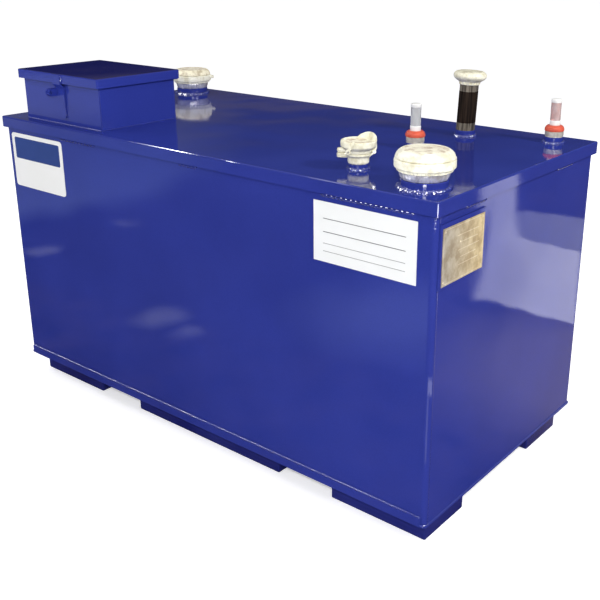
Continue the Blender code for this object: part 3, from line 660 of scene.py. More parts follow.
print("pan weld:", made["pan_seam_weld"], "triangles")

# %% [markdown]
# Under the roof's lip the welder only stitched: short beads with bare gaps between them. They are half
# round, with ripples even longer than those on the sockets, so that each ripple gives one dot of light.

# %% Stitch the roof
STITCH_SIZE, STITCH_RIPPLE, STITCH_STEPS = 0.0052, 0.016, 10
stitch_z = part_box("roof")[0].z - STITCH_SIZE
stitches = []


def stitch(start, end, out):
    stitches.append(seam((*start, stitch_z), (*end, stitch_z), UP, out, STITCH_SIZE, 90 + len(stitches),
                         STITCH_RIPPLE, STITCH_STEPS, spread=180, depth=0.34))


for facing in (-1, 1):
    for start, end in ((-0.593, -0.403), (-0.004, 0.078), (0.550, 0.847)):
        stitch((start, facing * wall_y), (end, facing * wall_y), (0, facing, 0))
for facing in (-1, 1):
    for start, end in ((-0.33, -0.22), (0.20, 0.31)):
        stitch((facing * wall_x, start), (facing * wall_x, end), (facing, 0, 0))
welded("roof_lip_stitch_welds", stitches, bead_blue)
print("stitches:", made["roof_lip_stitch_welds"], "triangles")

# %% [markdown]
# The end sheets are let in between the bent corners, and their two upright seams were ground nearly flush.
# A very flat half-round bead does for a ground seam. The feet hang under the pan on short stitches.

# %% Close the upright seams, and weld the feet on
upright = []
for facing in (-1, 1):
    for back in (-1, 1):
        x, y = facing * wall_x, back * (wall_y - BEND)
        upright.append(seam((x, y, floor_top + 0.004), (x, y, roof_top - 0.030), (0, 1, 0), (facing, 0, 0),
                            0.0030, 100 + len(upright), spread=180, flat=0.16))
welded("end_sheet_seams", upright, weld_blue)
foot_beads = []


def foot_bead(start, end, out):
    foot_beads.append(seam((*start, pan_low.z), (*end, pan_low.z), out, (0, 0, -1), 0.0050,
                           120 + len(foot_beads)))


for name in sorted(node for node in nodes if node.startswith("foot_")):
    low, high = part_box(name)
    length = high.x - low.x
    for y, out in ((low.y, -1), (high.y, 1)):
        for start, end in ((0.06, 0.30), (0.70, 0.94)):
            foot_bead((low.x + start * length, y), (low.x + end * length, y), (0, out, 0))
    for x, out in ((low.x, -1), (high.x, 1)):
        foot_bead((x, low.y + 0.02), (x, high.y - 0.02), (out, 0, 0))
welded("foot_welds", foot_beads, weld_blue)
print("seams and feet:", made["end_sheet_seams"] + made["foot_welds"], "triangles")

# %% [markdown]
# ### The beads on the lock strap
# The strap is welded to the lid's lip along both of its long edges, and the padlock ear on the box has a
# bead on each side of its root. The beads on the strap ride with the lid, and those on the box stay.

# %% Weld the strap and the ear
LID_OVERHANG, EAR_GAP, EAR_WIDTH = 0.0145, 0.0055, 0.005
strap_x0, strap_x1 = [place.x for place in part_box("lock_strap")]
lid_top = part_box("fill_lid")[1].z


def upright_pair(xs, y, bottom, top, size, seed):
    return [seam((x, y, bottom), (x, y, top), (out, 0, 0), (0, -1, 0), size, seed + i)
            for i, (x, out) in enumerate(zip(xs, (-1, 1)))]


strap_beads = upright_pair((strap_x0, strap_x1), box_y0 - LID_OVERHANG, lid_top - 0.029, lid_top - 0.004,
                           0.0036, 150)
welded("strap_welds", strap_beads, weld_blue, body="fill_lid")
ear_middle, ear_right = lid_top - 0.062, strap_x0 - EAR_GAP
ear_beads = upright_pair((ear_right - EAR_WIDTH, ear_right), box_y0, ear_middle - 0.012, ear_middle + 0.012,
                         0.0026, 160)
welded("box_ear_welds", ear_beads, weld_blue)
print("strap and ear welds:", made["strap_welds"] + made["box_ear_welds"], "triangles")

# %% [markdown]
# ## The two emergency vents
# Both vents are the same casting: a bowl on a neck with twelve flats for a wrench, and a loose cap that
# lifts when the pressure rises. The neck widens a little upwards. Flats are a radius that changes with the
# angle, so the spinning tool makes them too. A skirt of small scallops under the band comes the same way.

# %% Shape the flats and the slots
NECK_FLATS, FLAT_TURN = 12, 6


def polygon_radius(angle, radius, count, turn=0.0):
    share = (math.degrees(angle) - turn) % (360 / count) - 180 / count
    return radius * math.cos(math.pi / count) / math.cos(math.radians(share))


def vent_shape(angle, radius, height):
    if height < 43 and 55 < radius < 69:
        flute = 0.45 * math.cos(angle * NECK_FLATS * 3)
        return polygon_radius(angle, radius, NECK_FLATS, FLAT_TURN) + 0.6 + flute
    if 45 < height < 52.5 and radius > 69:
        return radius - (2.4 if math.degrees(angle) % 12 < 4 else 0.0)
    return radius


half_flat = polygon_radius(math.radians(FLAT_TURN + 15), 60, NECK_FLATS, FLAT_TURN)
print("a neck of 60 mm is", round(half_flat, 2), "mm from its middle to a flat")

# %% [markdown]
# The neck is cut bright on a lathe and the bowl is left as cast, so one piece gets two finishes. The faces
# below the band take the second finish. A lug for a wrench sticks out of the band on one side.

# %% Cast the bowls of both vents
VENT_LUG_TURNS = {"left_vent": 43.95, "right_vent": 61.95}
NECK_TOP = 0.0445
BOWL = [(48.5, 23.3), (59.4, 23.3), (61.4, 25.0), (64.0, 31.0), (66.0, 40.6), (65.6, 42.2), (66.4, 43.6),
        (71.4, 44.8), (72.6, 46.4), (73.0, 51.6), (77.6, 53.2), (79.0, 55.4), (79.0, 71.8), (78.2, 74.0),
        (75.6, 75.5), (60.0, 75.5), (48.5, 75.5)]


def second_finish(piece, chosen):
    for face in piece.data.polygons:
        face.material_index = 1 if chosen(face.center, face.normal) else 0


def vent_bowl(name):
    x, y, _ = middle_of(name + "_socket")
    lug = plate([(60, -11)] + arc(82, 0, 8.5, -75, 75, 8) + [(60, 11)], 59.5, 72.0, 2.4)
    shape = joined(turned(softened(BOWL, 1.0, 2), 180, vent_shape), shifted(lug, turn=VENT_LUG_TURNS[name]))
    piece = fitted(name + "_bowl_casting", shape, [cast_cream, bright_neck],
                   at=(x, y, roof_top), stands_for=[name + "_bowl"])
    second_finish(piece, lambda middle, normal: middle.z < roof_top + NECK_TOP)


for name in VENT_LUG_TURNS:
    vent_bowl(name)
print("each bowl:", made["left_vent_bowl_casting"], "triangles")

# %% [markdown]
# The cap flares up from its seam to a flat top. A shallow groove runs round the top, and rain leaves dirt
# in it, so the faces of the groove get the dirtier casting finish. The left cap has weathered more than
# the right one. Below the cap hangs the guide that keeps it in the bowl.

# %% Cast the caps of both vents
GROOVE_LEVEL, GROOVE_INSIDE, GROOVE_OUTSIDE = 0.0968, 0.020, 0.0590
VENT_CAP = [(0, 64.5), (44.5, 64.5), (45.0, 75.9), (74.2, 75.9), (76.0, 76.8), (77.2, 78.6), (76.4, 80.4),
            (75.6, 83.6), (73.4, 88.2), (69.8, 92.6), (65.6, 96.2), (62.4, 98.0), (60.6, 98.4), (58.8, 97.2),
            (56.6, 97.0), (53.6, 98.0), (46.0, 98.8), (0, 99.0)]


def vent_cap(name):
    x, y, _ = middle_of(name + "_socket")
    skin = cast_grey if name == "left_vent" else cast_cream
    piece = fitted(name + "_cap_casting", turned(softened(VENT_CAP, 1.0, 2), 108), [skin, cast_dull],
                   body=name + "_cap", at=(x, y, roof_top), stands_for=[name + "_cap"])
    second_finish(piece, lambda middle, normal: middle.z > roof_top + GROOVE_LEVEL
                  and GROOVE_INSIDE < math.hypot(middle.x - x, middle.y - y) < GROOVE_OUTSIDE)


for name in VENT_LUG_TURNS:
    vent_cap(name)
print("each cap:", made["left_vent_cap_casting"], "triangles")

# %% [markdown]
# ## The locking fill cap
# A cast ring screws into its socket. A lid closes it, hinged at the right, and a padlock goes through the
# two lugs at the left. The holes have to be real holes, because a padlock's bow shows through them, and a
# Boolean does that best. Its result is taken at once, so that no cutter stays in the scene.

# %% Cut one shape away from another
def cut_away(bm, tool):
    work, knife = [bpy.data.objects.new(label, bpy.data.meshes.new(label)) for label in ("work", "knife")]
    for thing, shape in ((work, bm), (knife, tool)):
        shape.to_mesh(thing.data)
        shape.free()
        bpy.context.scene.collection.objects.link(thing)
    cut = work.modifiers.new("cut", "BOOLEAN")
    cut.operation, cut.solver, cut.object = "DIFFERENCE", "EXACT", knife
    seen = work.evaluated_get(bpy.context.evaluated_depsgraph_get())
    result = bmesh.new()
    result.from_mesh(seen.to_mesh())
    seen.to_mesh_clear()
    for thing in (work, knife):
        mesh = thing.data
        bpy.data.objects.remove(thing)
        bpy.data.meshes.remove(mesh)
    return result


print("the cutting tool is ready")

# %% [markdown]
# The ring has a round neck that flares out under its rim. A lug at the left and two hinge ears at the
# right are plates. The whole cap is turned, so that its hinge lies to the right as one looks at it.

# %% Cast the fill cap's ring
CAP_TURN = 38
LUG_X, HINGE_X, BARREL = -50, 42.5, 5.4
cap_x, cap_y, _ = middle_of("fill_cap_socket")
seat = (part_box("fill_cap_ring")[0].z - roof_top) * 1000
ring_top = seat + 30
hinge_height = ring_top + 4


def lock_lug(root, half, low, high, bevel):
    """A rounded lug at the left of the cap, with the padlock's hole through it."""
    lug = plate([(root, -half)] + arc(LUG_X, 0, half, -90, -270, 10) + [(root, half)], low, high, bevel)
    return cut_away(lug, shifted(turned([(0, 0), (3.8, 0), (3.8, 80), (0, 80)], 20), x=LUG_X, z=seat))


ring = [(17.5, seat), (26.4, seat), (28.8, seat + 2), (29.6, seat + 4.6), (29.7, seat + 17.6),
        (30.6, seat + 19.4), (34.2, seat + 22.0), (36.6, seat + 24), (36.9, seat + 27), (35.4, seat + 27.8),
        (35.4, seat + 28.8), (36.9, seat + 29.4), (36.9, ring_top), (17.5, ring_top)]
ears = []
for y in (-13, 13):
    ear = [(27, seat + 16), (38.5, ring_top - 2.4)] + arc(HINGE_X, hinge_height, BARREL, -60, 180, 8)
    ears.append(shifted(plate(ear + [(34.5, ring_top - 1)], -3 - y, 3 - y, 0.7), tip=(90, "X")))
ring_shape = joined(turned(softened(ring, 0.8, 2), 72), lock_lug(-26, 9, seat + 16, ring_top, 3.6), *ears)
fitted("fill_cap_ring_casting", shifted(ring_shape, turn=CAP_TURN), cast_pale,
       at=(cap_x, cap_y, roof_top), stands_for=["fill_cap_ring"])
print("ring:", made["fill_cap_ring_casting"], "triangles")

# %% [markdown]
# The lid spreads out into a wide head with a raised rim, and its top is a shallow dish, painted a darker
# grey as the shade in its hollow. A crest like a new moon stands on the rim, from the rear to the hinge, and
# takes the pull of the hand. It could be sculpted. Here the same cross-section is set at small turns and
# grows and shrinks on the way, which keeps its foot exactly on the rim.

# %% Shape the head and the crest of the fill cap's lid
lid_seat = ring_top + 0.3
rim = lid_seat + 34.2
head = [(0, lid_seat - 6), (15.5, lid_seat - 6), (15.5, lid_seat), (35.6, lid_seat), (37.0, lid_seat + 1.4),
        (37.4, lid_seat + 8.0), (40.6, lid_seat + 10.6), (46.4, lid_seat + 14.6), (49.4, lid_seat + 18.6),
        (49.7, lid_seat + 29.4), (48.8, lid_seat + 32.8), (46.8, rim), (44.6, lid_seat + 33.6),
        (42.4, lid_seat + 30.2), (22.0, lid_seat + 26.6), (0, lid_seat + 26.2)]


def crest(start, end, rise, steps=28):
    bm = bmesh.new()
    rows = []
    for i in range(steps + 1):
        turn = math.radians(start + (end - start) * i / steps)
        lift = rise * math.sin(math.pi * i / steps) ** 0.7
        section = [(38.0, -6.0), (38.4, lift * 0.72 - 1), (40.4, lift * 0.95 - 0.4), (43.6, lift),
                   (46.6, lift * 0.96 - 0.3), (49.2, lift * 0.80 - 1), (50.0, lift * 0.45 - 2), (49.6, -6.0)]
        rows.append([bm.verts.new((r * math.cos(turn) / 1000, r * math.sin(turn) / 1000, (rim + up) / 1000))
                     for r, up in section])
    return skinned(bm, rows)


print("the head is", max(radius for radius, height in head) * 2, "mm wide")

# %% [markdown]
# Between the hinge ears a narrow tongue goes down to the pin. At the left a lug lies on the ring's lug,
# with one padlock hole through both. A hasp with its own hole hangs aslant over the front of the rim. The
# dish takes the darker finish by its own faces, as the grooves of the vents do, and in the dish it is painted
# shade.

# %% Cast the fill cap's lid
DISH_RADIUS = 0.0435
tongue = [(32, lid_seat + 12), (36, lid_seat + 22), (50, lid_seat + 22), (50, ring_top + 14)]
tongue += arc(HINGE_X, hinge_height, BARREL, 20, -180, 8) + [(29.5, lid_seat + 6)]
tongue = shifted(plate(tongue, -8.4, 8.4, 1.0), tip=(90, "X"))
hasp = plate([(-3.8, 33)] + arc(0, 0, 7.4, 120, 420, 20) + [(3.8, 33)], -2.7, 2.7, 1.6)
hasp = cut_away(hasp, turned([(0, -9), (2.9, -9), (2.9, 9), (0, 9)], 20))
hasp = shifted(shifted(hasp, turn=-30.2), x=-28.6, y=-44, z=53.5, turn=-17, tip=(90, "X"))
lid_shape = joined(turned(softened(head, 1.2, 2), 84), crest(-14, 92, 16.5), tongue,
                   lock_lug(-28, 8.8, lid_seat + 0.6, lid_seat + 12.4, 4.2), hasp)
piece = fitted("fill_cap_lid_casting", shifted(lid_shape, turn=CAP_TURN), [cast_pale, cast_dull],
               body="fill_cap_lid", at=(cap_x, cap_y, roof_top),
               stands_for=["fill_cap_lid"])
# Painted shade: the dish's upward faces take the darker finish for the shade in its hollow.
second_finish(piece, lambda middle, normal: math.hypot(middle.x - cap_x, middle.y - cap_y) < DISH_RADIUS
              and 26 < (middle.z - roof_top) * 1000 - lid_seat < 33 and normal.z > 0.5)
nodes["fill_cap_pin"].data.materials[0] = bright_neck
nodes["fill_lid_hinge_pin"].data.materials[0] = bright_neck
print("lid:", made["fill_cap_lid_casting"], "triangles")

# %% [markdown]
# ## The vent pipe and its mushroom cap
# A length of black pipe is threaded at both ends. The threads are rings in the profile, two millimetres
# apart: at this size nobody can tell rings from a true spiral, and rings close up cleanly. The pipe was
# screwed in a little crooked, so it is tipped a little over two degrees about its foot, and its cap
# with it.

# %% Cut the pipe and its threads
def thread(radius, start, turns, pitch, depth):
    points = []
    for i in range(turns):
        points += [(radius, start + i * pitch), (radius - depth, start + (i + 0.5) * pitch)]
    return points + [(radius, start + turns * pitch)]


PITCH, THREAD_DEPTH = 2.2, 1.0
LEAN, LEAN_TOWARDS = 2.3, math.radians(38)
LEAN_AXIS = Vector((-math.sin(LEAN_TOWARDS), math.cos(LEAN_TOWARDS), 0))
pipe_x, pipe_y, pipe_radius = middle_of("vent_pipe")
pipe_low, pipe_high = [(place.z - roof_top) * 1000 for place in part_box("vent_pipe")]
outer, inner = pipe_radius * 1000, 26.2


def leaning(bm):
    bmesh.ops.translate(bm, verts=bm.verts, vec=(0, 0, -pipe_low / 1000))
    return shifted(bm, z=pipe_low, tip=(LEAN, LEAN_AXIS))


wall = [(inner, pipe_low)] + thread(outer, pipe_low, 11, PITCH, THREAD_DEPTH)
wall += [(outer, pipe_low + 24.8), (outer, pipe_high - 21)]
wall += thread(outer, pipe_high - 20.6, 9, PITCH, THREAD_DEPTH)
wall += [(outer - 0.4, pipe_high), (inner, pipe_high)]
piece = fitted("vent_pipe_threaded", leaning(turned(wall, 60)), [black_lacquer, bare_thread],
               at=(pipe_x, pipe_y, roof_top), stands_for=["vent_pipe"])
second_finish(piece, lambda middle, normal:
              not pipe_low + 24 < (middle.z - roof_top) * 1000 < pipe_high - 20.8)
print("pipe:", made["vent_pipe_threaded"], "triangles")

# %% [markdown]
# The mushroom cap is cast aluminium. Its skirt hangs over a ring of small openings that let the tank
# breathe. The openings are dark pockets in the neck, made by pulling the radius in at even steps. The top
# is a darker greenish grey.

# %% Cast the mushroom cap
def breathing(angle, radius, height):
    if 4 < height - pipe_high < 11 and 33 < radius < 42:
        return radius - (3.4 if math.degrees(angle) % 30 < 12 else 0.0)
    return radius


cap_foot = pipe_high + 0.3
MUSHROOM = [(0, 0), (32.5, 0), (33.6, 1.6), (34.0, 4.8), (34.6, 8.6), (38.0, 11.2), (43.6, 14.4),
            (48.6, 18.4), (51.6, 22.4), (52.8, 26.0), (52.7, 29.8), (51.4, 33.8), (48.8, 37.4),
            (45.6, 40.0), (42.0, 41.6), (40.6, 41.2), (39.0, 41.9), (30.0, 43.2), (14.0, 43.8), (0, 44.0)]
GREENISH_GREY_ABOVE = 39.5
mushroom = softened([(radius, cap_foot + height) for radius, height in MUSHROOM], 1.0, 2)
piece = fitted("vent_pipe_cap_casting", leaning(turned(mushroom, 120, breathing)), [cast_pale, cast_olive],
               at=(pipe_x, pipe_y, roof_top), stands_for=["vent_pipe_cap"])
second_finish(piece, lambda middle, normal: middle.z > roof_top + (cap_foot + GREENISH_GREY_ABOVE) / 1000)
print("mushroom cap:", made["vent_pipe_cap_casting"], "triangles")

# %% [markdown]
# ## The two level gauges
# From the roof up a gauge is a six-sided metal bushing, a red collar with a grip of fine ribs, and a clear
# tube between two white ends, with the float's stem inside. Both are made by one function, because they
# are the same gauge. Only the stems and the tint of the tubes differ: the leak gauge's stem is red-brown.

# %% Build a gauge
def hex_bushing(angle, radius, height):
    return polygon_radius(angle, radius, 6, 12) * 0.6 + radius * 0.4 if radius > 28 else radius


def ribbed(angle, radius, height):
    return radius - (0.7 if (math.degrees(angle) % 10) < 4 and radius > 29 else 0.0)


def gauge(name, tube_finish, stem_finish, stem_top):
    x, y, _ = middle_of(name + "_socket")
    low, high = [(place.z - roof_top) * 1000 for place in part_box(name + "_bushing")]
    red_low, red_high = [(place.z - roof_top) * 1000 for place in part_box(name + "_collar")]
    top = (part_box(name + "_vial")[1].z - roof_top) * 1000
    tube_low = red_high + 15.4

    def gauge_part(ending, bm, finish, stands_for=()):
        fitted(name + ending, bm, finish, at=(x, y, roof_top), stands_for=stands_for)

    bushing = [(0, low), (27.4, low), (28.2, low + 0.8), (28.2, low + 3.0), (29.2, low + 3.8),
               (29.8, low + 5.0), (29.8, high - 1.4), (28.6, high), (0, high)]
    gauge_part("_hex_bushing", turned(bushing, 96, hex_bushing), grey_bushing,
               [name + "_bushing"])
    collar = [(0, red_low), (28.6, red_low), (30.2, red_low + 0.8), (30.2, red_low + 8.4),
              (28.9, red_low + 9.4), (28.4, red_low + 12.0), (26.4, red_low + 14.8), (22.6, red_high),
              (0, red_high)]
    gauge_part("_ribbed_collar", turned(softened(collar, 0.7, 2), 144, ribbed), red_collar,
               [name + "_collar"])
    foot = [(0, red_high + 0.3), (16.3, red_high + 0.3), (16.3, tube_low - 1.6), (15.4, tube_low - 0.1),
            (0, tube_low - 0.1)]
    head = [(0, top - 12.0), (15.2, top - 12.0), (16.3, top - 11.0), (16.3, top - 2.6), (14.9, top - 0.4),
            (12.4, top), (0, top)]
    ends = joined(*[turned(softened(end, 0.6, 2), 48) for end in (foot, head)])
    gauge_part("_white_ends", ends, white_end)
    tube = [(13.0, tube_low), (15.8, tube_low), (15.8, top - 12.1), (13.0, top - 12.1)]
    gauge_part("_clear_tube", turned(tube, 48), tube_finish, [name + "_vial"])
    stem = [(0, tube_low), (3.0, tube_low), (3.0, stem_top - 6), (5.4, stem_top - 5), (5.4, stem_top),
            (0, stem_top + 1)]
    gauge_part("_stem", turned(stem, 32), stem_finish)


gauge("leak_gauge", pink_vial, float_stem, 118)
gauge("tank_gauge", clear_vial, pale_stem, 100)
print("gauges:", sum(count for name, count in made.items() if "gauge" in name), "triangles")

# %% [markdown]
# ## The signs
# Both signs are blank plates. The notice plate has a blue header, and the large plate has plain ruled
# lines. A printed field is a skin a fifth of a millimetre thick, laid on the plate. An image texture could
# do it as well, but thin geometry stays sharp at any distance.

# %% Print the notice plate and the white plate
nodes["notice_sign"].data.materials[0] = notice_sheet
nodes["white_sign"].data.materials[0] = white_sheet


def ink(node, left, right, low, high, radius=0.3):
    (x0, y, z0), (x1, _, z1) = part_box(node)
    wide, tall = (x1 - x0) * 1000, (z1 - z0) * 1000
    outline = rounded_field(left * wide, low * tall, right * wide, high * tall, radius, 4)
    field = shifted(plate(outline, 0.05, 0.25), tip=(90, "X"))
    bmesh.ops.translate(field, verts=field.verts, vec=(x0, y, z0))
    return field


RULES = [(0.72, 0.012), (0.50, 0.012), (0.31, 0.007), (0.18, 0.007)]
fitted("notice_header", ink("notice_sign", 0.055, 0.945, 0.53, 0.925, 6), blue_ink)
rules = [ink("white_sign", 0.10, 0.90, height, height + thick) for height, thick in RULES]
fitted("white_sign_rules", joined(*rules), grey_ink)
print("prints:", made["notice_header"] + made["white_sign_rules"], "triangles")

# %% [markdown]
# The brass plate is riveted to a painted backing. It gets a raised border, five engraved-looking rules and
# a rivet in each corner, all of them plain. Rivets are turned like any other round piece and tipped over.

# %% Finish the brass plate
nodes["brass_plate"].data.materials[0] = brass_face
plate_low, plate_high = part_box("brass_plate")
wide, tall = (plate_high.y - plate_low.y) * 1000, (plate_high.z - plate_low.z) * 1000


def on_end(bm):
    stood_up = Matrix(((0, 0, 1, plate_high.x), (1, 0, 0, plate_low.y), (0, 1, 0, plate_low.z), (0, 0, 0, 1)))
    bmesh.ops.transform(bm, matrix=stood_up, verts=bm.verts)
    return bm


def bar(x0, y0, x1, y1, height, bevel):
    return plate([(x0, y0), (x1, y0), (x1, y1), (x0, y1)], -0.05, height, bevel)


EDGE, LINE, RULE, RIVET_IN = 4, 5.6, 2.2, 9.5
border = [bar(*sides, 0.5, 0.15) for sides in
          ((EDGE, EDGE, wide - EDGE, LINE), (EDGE, tall - LINE, wide - EDGE, tall - EDGE),
           (EDGE, EDGE, LINE, tall - EDGE), (wide - LINE, EDGE, wide - EDGE, tall - EDGE))]
for line, (start, end) in enumerate(((0.34, 0.86), (0.40, 0.84), (0.36, 0.88), (0.42, 0.80), (0.38, 0.86))):
    y = tall * (0.78 - 0.13 * line)
    border.append(bar(start * wide, y, end * wide, y + RULE, 0.35, 0.12))
fitted("brass_border_and_rules", on_end(joined(*border)), brass_mark)
rivets = [shifted(turned([(0, 0), (3.6, 0), (3.4, 1.0), (2.2, 1.9), (0, 2.2)], 20), x=x, y=y)
          for x in (RIVET_IN, wide - RIVET_IN) for y in (RIVET_IN, tall - RIVET_IN)]
fitted("brass_plate_rivets", on_end(joined(*rivets)), brass_mark)
print("brass:", made["brass_border_and_rules"] + made["brass_plate_rivets"], "triangles")

# %% [markdown]
# ## The floor
# A studio floor is one large pale sheet. Glossy paint would mirror a white floor as a milky haze, so
# mirrored rays see a dim floor with a joint, a blotchy strip near the tank and some pale pools, and all
# other rays see its real pale colour. A Light Path node tells them apart. The pools fade out at their rims,
# because daylight has no hard edges here.

# %% Mix the colour that the paint mirrors
floor_finish, floor_tree, floor_shader = new_finish("studio_floor", 0.85, Specular_IOR_Level=0.0)
floor_rays = floor_tree.nodes.new("ShaderNodeLightPath")


def fading(tree, centre, radius, core, strength=1.0):
    away = tree.nodes.new("ShaderNodeVectorMath")
    away.operation = "DISTANCE"
    away.inputs[1].default_value = centre
    tree.links.new(place_of(tree), away.inputs[0])
    return ranged(tree, away.outputs["Value"], strength, 0.0, radius * core, radius)


def along(tree, direction, start, end):
    measure = tree.nodes.new("ShaderNodeVectorMath")
    measure.operation = "DOT_PRODUCT"
    measure.inputs[1].default_value = direction
    tree.links.new(place_of(tree), measure.inputs[0])
    return ranged(tree, measure.outputs["Value"], 0.0, 1.0, start, end)


JOINT = (0.188, 0.982, 0.0)
POOLS = [(-4.4, -2.4, 1.95, 0.80, (0.36, 0.46, 0.82)), (-6.9, -4.7, 2.6, 0.5, (0.78, 0.84, 0.95)),
         (-0.1, -1.85, 0.62, 0.3, (0.42, 0.50, 0.85)), (-0.93, -1.12, 0.15, 0.3, (0.7, 0.7, 0.8)),
         (-0.70, -1.07, 0.09, 0.3, (0.6, 0.6, 0.7)), (-2.24, -1.98, 0.09, 0.3, (0.7, 0.7, 0.8)),
         (-2.17, -1.34, 0.12, 0.3, (0.6, 0.6, 0.7)), (1.0, 0.9, 0.80, 0.45, (0.46, 0.37, 0.34))]
far_off = colours(floor_tree, cloud(floor_tree, 0.55, 3.0),
                  [(0.35, (0.015, 0.015, 0.10)), (0.65, (0.11, 0.10, 0.24))])
close_by = colours(floor_tree, cloud(floor_tree, 5.0, 5.0, harshness=0.7),
                   [(0.34, (0.005, 0.005, 0.01)), (0.68, (0.16, 0.11, 0.13))])
seen = blended(floor_tree, along(floor_tree, JOINT, -1.34, -1.27), far_off, close_by)
for x, y, radius, core, colour in POOLS:
    seen = blended(floor_tree, fading(floor_tree, (x, y, 0.0), radius, core), seen, colour)
print("pools on the floor:", len(POOLS))

# %% [markdown]
# For the camera the floor also glows a little, which keeps it white far away and leaves only a soft shadow
# under the tank. The floor itself doesn't shine: it would throw the light of lamps up onto the walls.

# %% Lay the pale floor
pale = colours(floor_tree, cloud(floor_tree, 0.6, 2.0),
               [(0.3, (0.92, 0.92, 0.92)), (0.7, (0.95, 0.95, 0.95))])
plugged(floor_tree, floor_shader, blended(floor_tree, floor_rays.outputs["Is Glossy Ray"], pale, seen))
floor_shader.inputs["Emission Color"].default_value = (*PURE_WHITE, 1.0)
floor_tree.links.new(ranged(floor_tree, floor_rays.outputs["Is Camera Ray"], 0.0, 0.45, 0.0, 1.0),
                     floor_shader.inputs["Emission Strength"])
REACH = 30.0
floor_mesh = bpy.data.meshes.new("studio_floor")
floor_corners = [(-REACH, -REACH, 0), (REACH, -REACH, 0), (REACH, REACH, 0), (-REACH, REACH, 0)]
floor_mesh.from_pydata(floor_corners, [], [(0, 1, 2, 3)])
floor_mesh.materials.append(floor_finish)
floor = bpy.data.objects.new("studio_floor", floor_mesh)
bpy.context.scene.collection.objects.link(floor)
print("floor:", REACH * 2, "m square")

# %% [markdown]
# ## The light
# Glossy paint shows whatever stands round it. A white room would turn the roof white, so the room is white
# only for the camera, softer as light, and dark where it is mirrored, with one warm band low over the
# horizon. High on the left the mirrored room is a little lighter, as if a wall stood there.

# %% Paint the room
world = bpy.data.worlds.new("studio")
bpy.context.scene.world = world
world.use_nodes = True
sky = world.node_tree
back = sky.nodes["Background"]
rays = sky.nodes.new("ShaderNodeLightPath")
space = sky.nodes.new("ShaderNodeTexCoord")
split = sky.nodes.new("ShaderNodeSeparateXYZ")
sky.links.new(space.outputs["Generated"], split.inputs["Vector"])
MIRRORED_SKY = [(0.0, (0.008, 0.009, 0.012)), (0.125, (0.008, 0.009, 0.012)), (0.143, (0.10, 0.085, 0.065)),
                (0.160, (0.09, 0.078, 0.07)), (0.175, (0.030, 0.034, 0.065)), (0.21, (0.030, 0.040, 0.13)),
                (0.30, (0.070, 0.085, 0.22)), (0.45, (0.13, 0.14, 0.20)), (0.9, (0.62, 0.63, 0.66))]
LEFT_WALL, ROOM_LIGHT = (0.185, 0.195, 0.225), (0.60, 0.60, 0.61)
mirrored = colours(sky, ranged(sky, split.outputs["Z"], 0.0, 1.0, 0.0, 1.0), MIRRORED_SKY)
left_high = sky.nodes.new("ShaderNodeMath")
left_high.operation = "MULTIPLY"
sky.links.new(ranged(sky, split.outputs["X"], 1.0, 0.0, -0.78, -0.68), left_high.inputs[0])
sky.links.new(ranged(sky, split.outputs["Z"], 0.0, 0.65, 0.15, 0.17), left_high.inputs[1])
mirrored = blended(sky, left_high.outputs[0], mirrored, LEFT_WALL)
plain_room = blended(sky, rays.outputs["Is Camera Ray"], ROOM_LIGHT, PURE_WHITE)
sky.links.new(blended(sky, rays.outputs["Is Glossy Ray"], plain_room, mirrored), back.inputs["Color"])
back.inputs["Strength"].default_value = 1.0
print("the mirrored room has", len(MIRRORED_SKY), "levels")

# %% [markdown]
# Three small strong lamps model the shapes and make glints. The one near the camera works like the lamp
# of a camera, and the others stand far right and far left. A large lamp behind the tank lights the rear
# softly, and the camera and mirrored rays don't see it.

# %% Hang the lamps
def lamp(name, azimuth, elevation, distance, size, power):
    light = bpy.data.lights.new(name, "AREA")
    light.shape, light.size, light.size_y, light.energy = "RECTANGLE", size[0], size[1], power
    holder = bpy.data.objects.new(name, light)
    turn, rise = math.radians(azimuth), math.radians(elevation)
    aim = Vector((math.sin(turn) * math.cos(rise), -math.cos(turn) * math.cos(rise), math.sin(rise)))
    holder.location = Vector((0, 0, 0.7)) + aim * distance
    holder.rotation_euler = aim.to_track_quat("Z", "Y").to_euler()
    bpy.context.scene.collection.objects.link(holder)
    return holder


behind = lamp("lamp_behind", 205, 9, 5.0, (1.8, 1.2), 70)
behind.visible_camera = behind.visible_glossy = False
lamp("lamp_near_camera", 40, 24, 4.3, (0.30, 0.16), 78)
lamp("lamp_far_right", 96, 34, 4.5, (0.25, 0.40), 62)
lamp("lamp_far_left", -59, 34, 4.5, (1.0, 0.45), 34)

# %% [markdown]
# ## What the paint mirrors
# The end wall mirrors a pale lavender patch with a step in its outline. Two panels that only mirrored rays
# can see stand behind the right corner to make it, a bright one and a half-bright one over it. Their
# outlines follow from the law of mirrors: each corner of the patch is traced from the eye to the wall, and
# on from there to the plane of the panels.

# %% Stand the panels of the pale patch
SOFT_CORE, PANEL_Y = 0.35, 1.30
LAVENDER, DIM_LAVENDER = (0.92, 0.90, 1.0), (0.66, 0.64, 0.74)


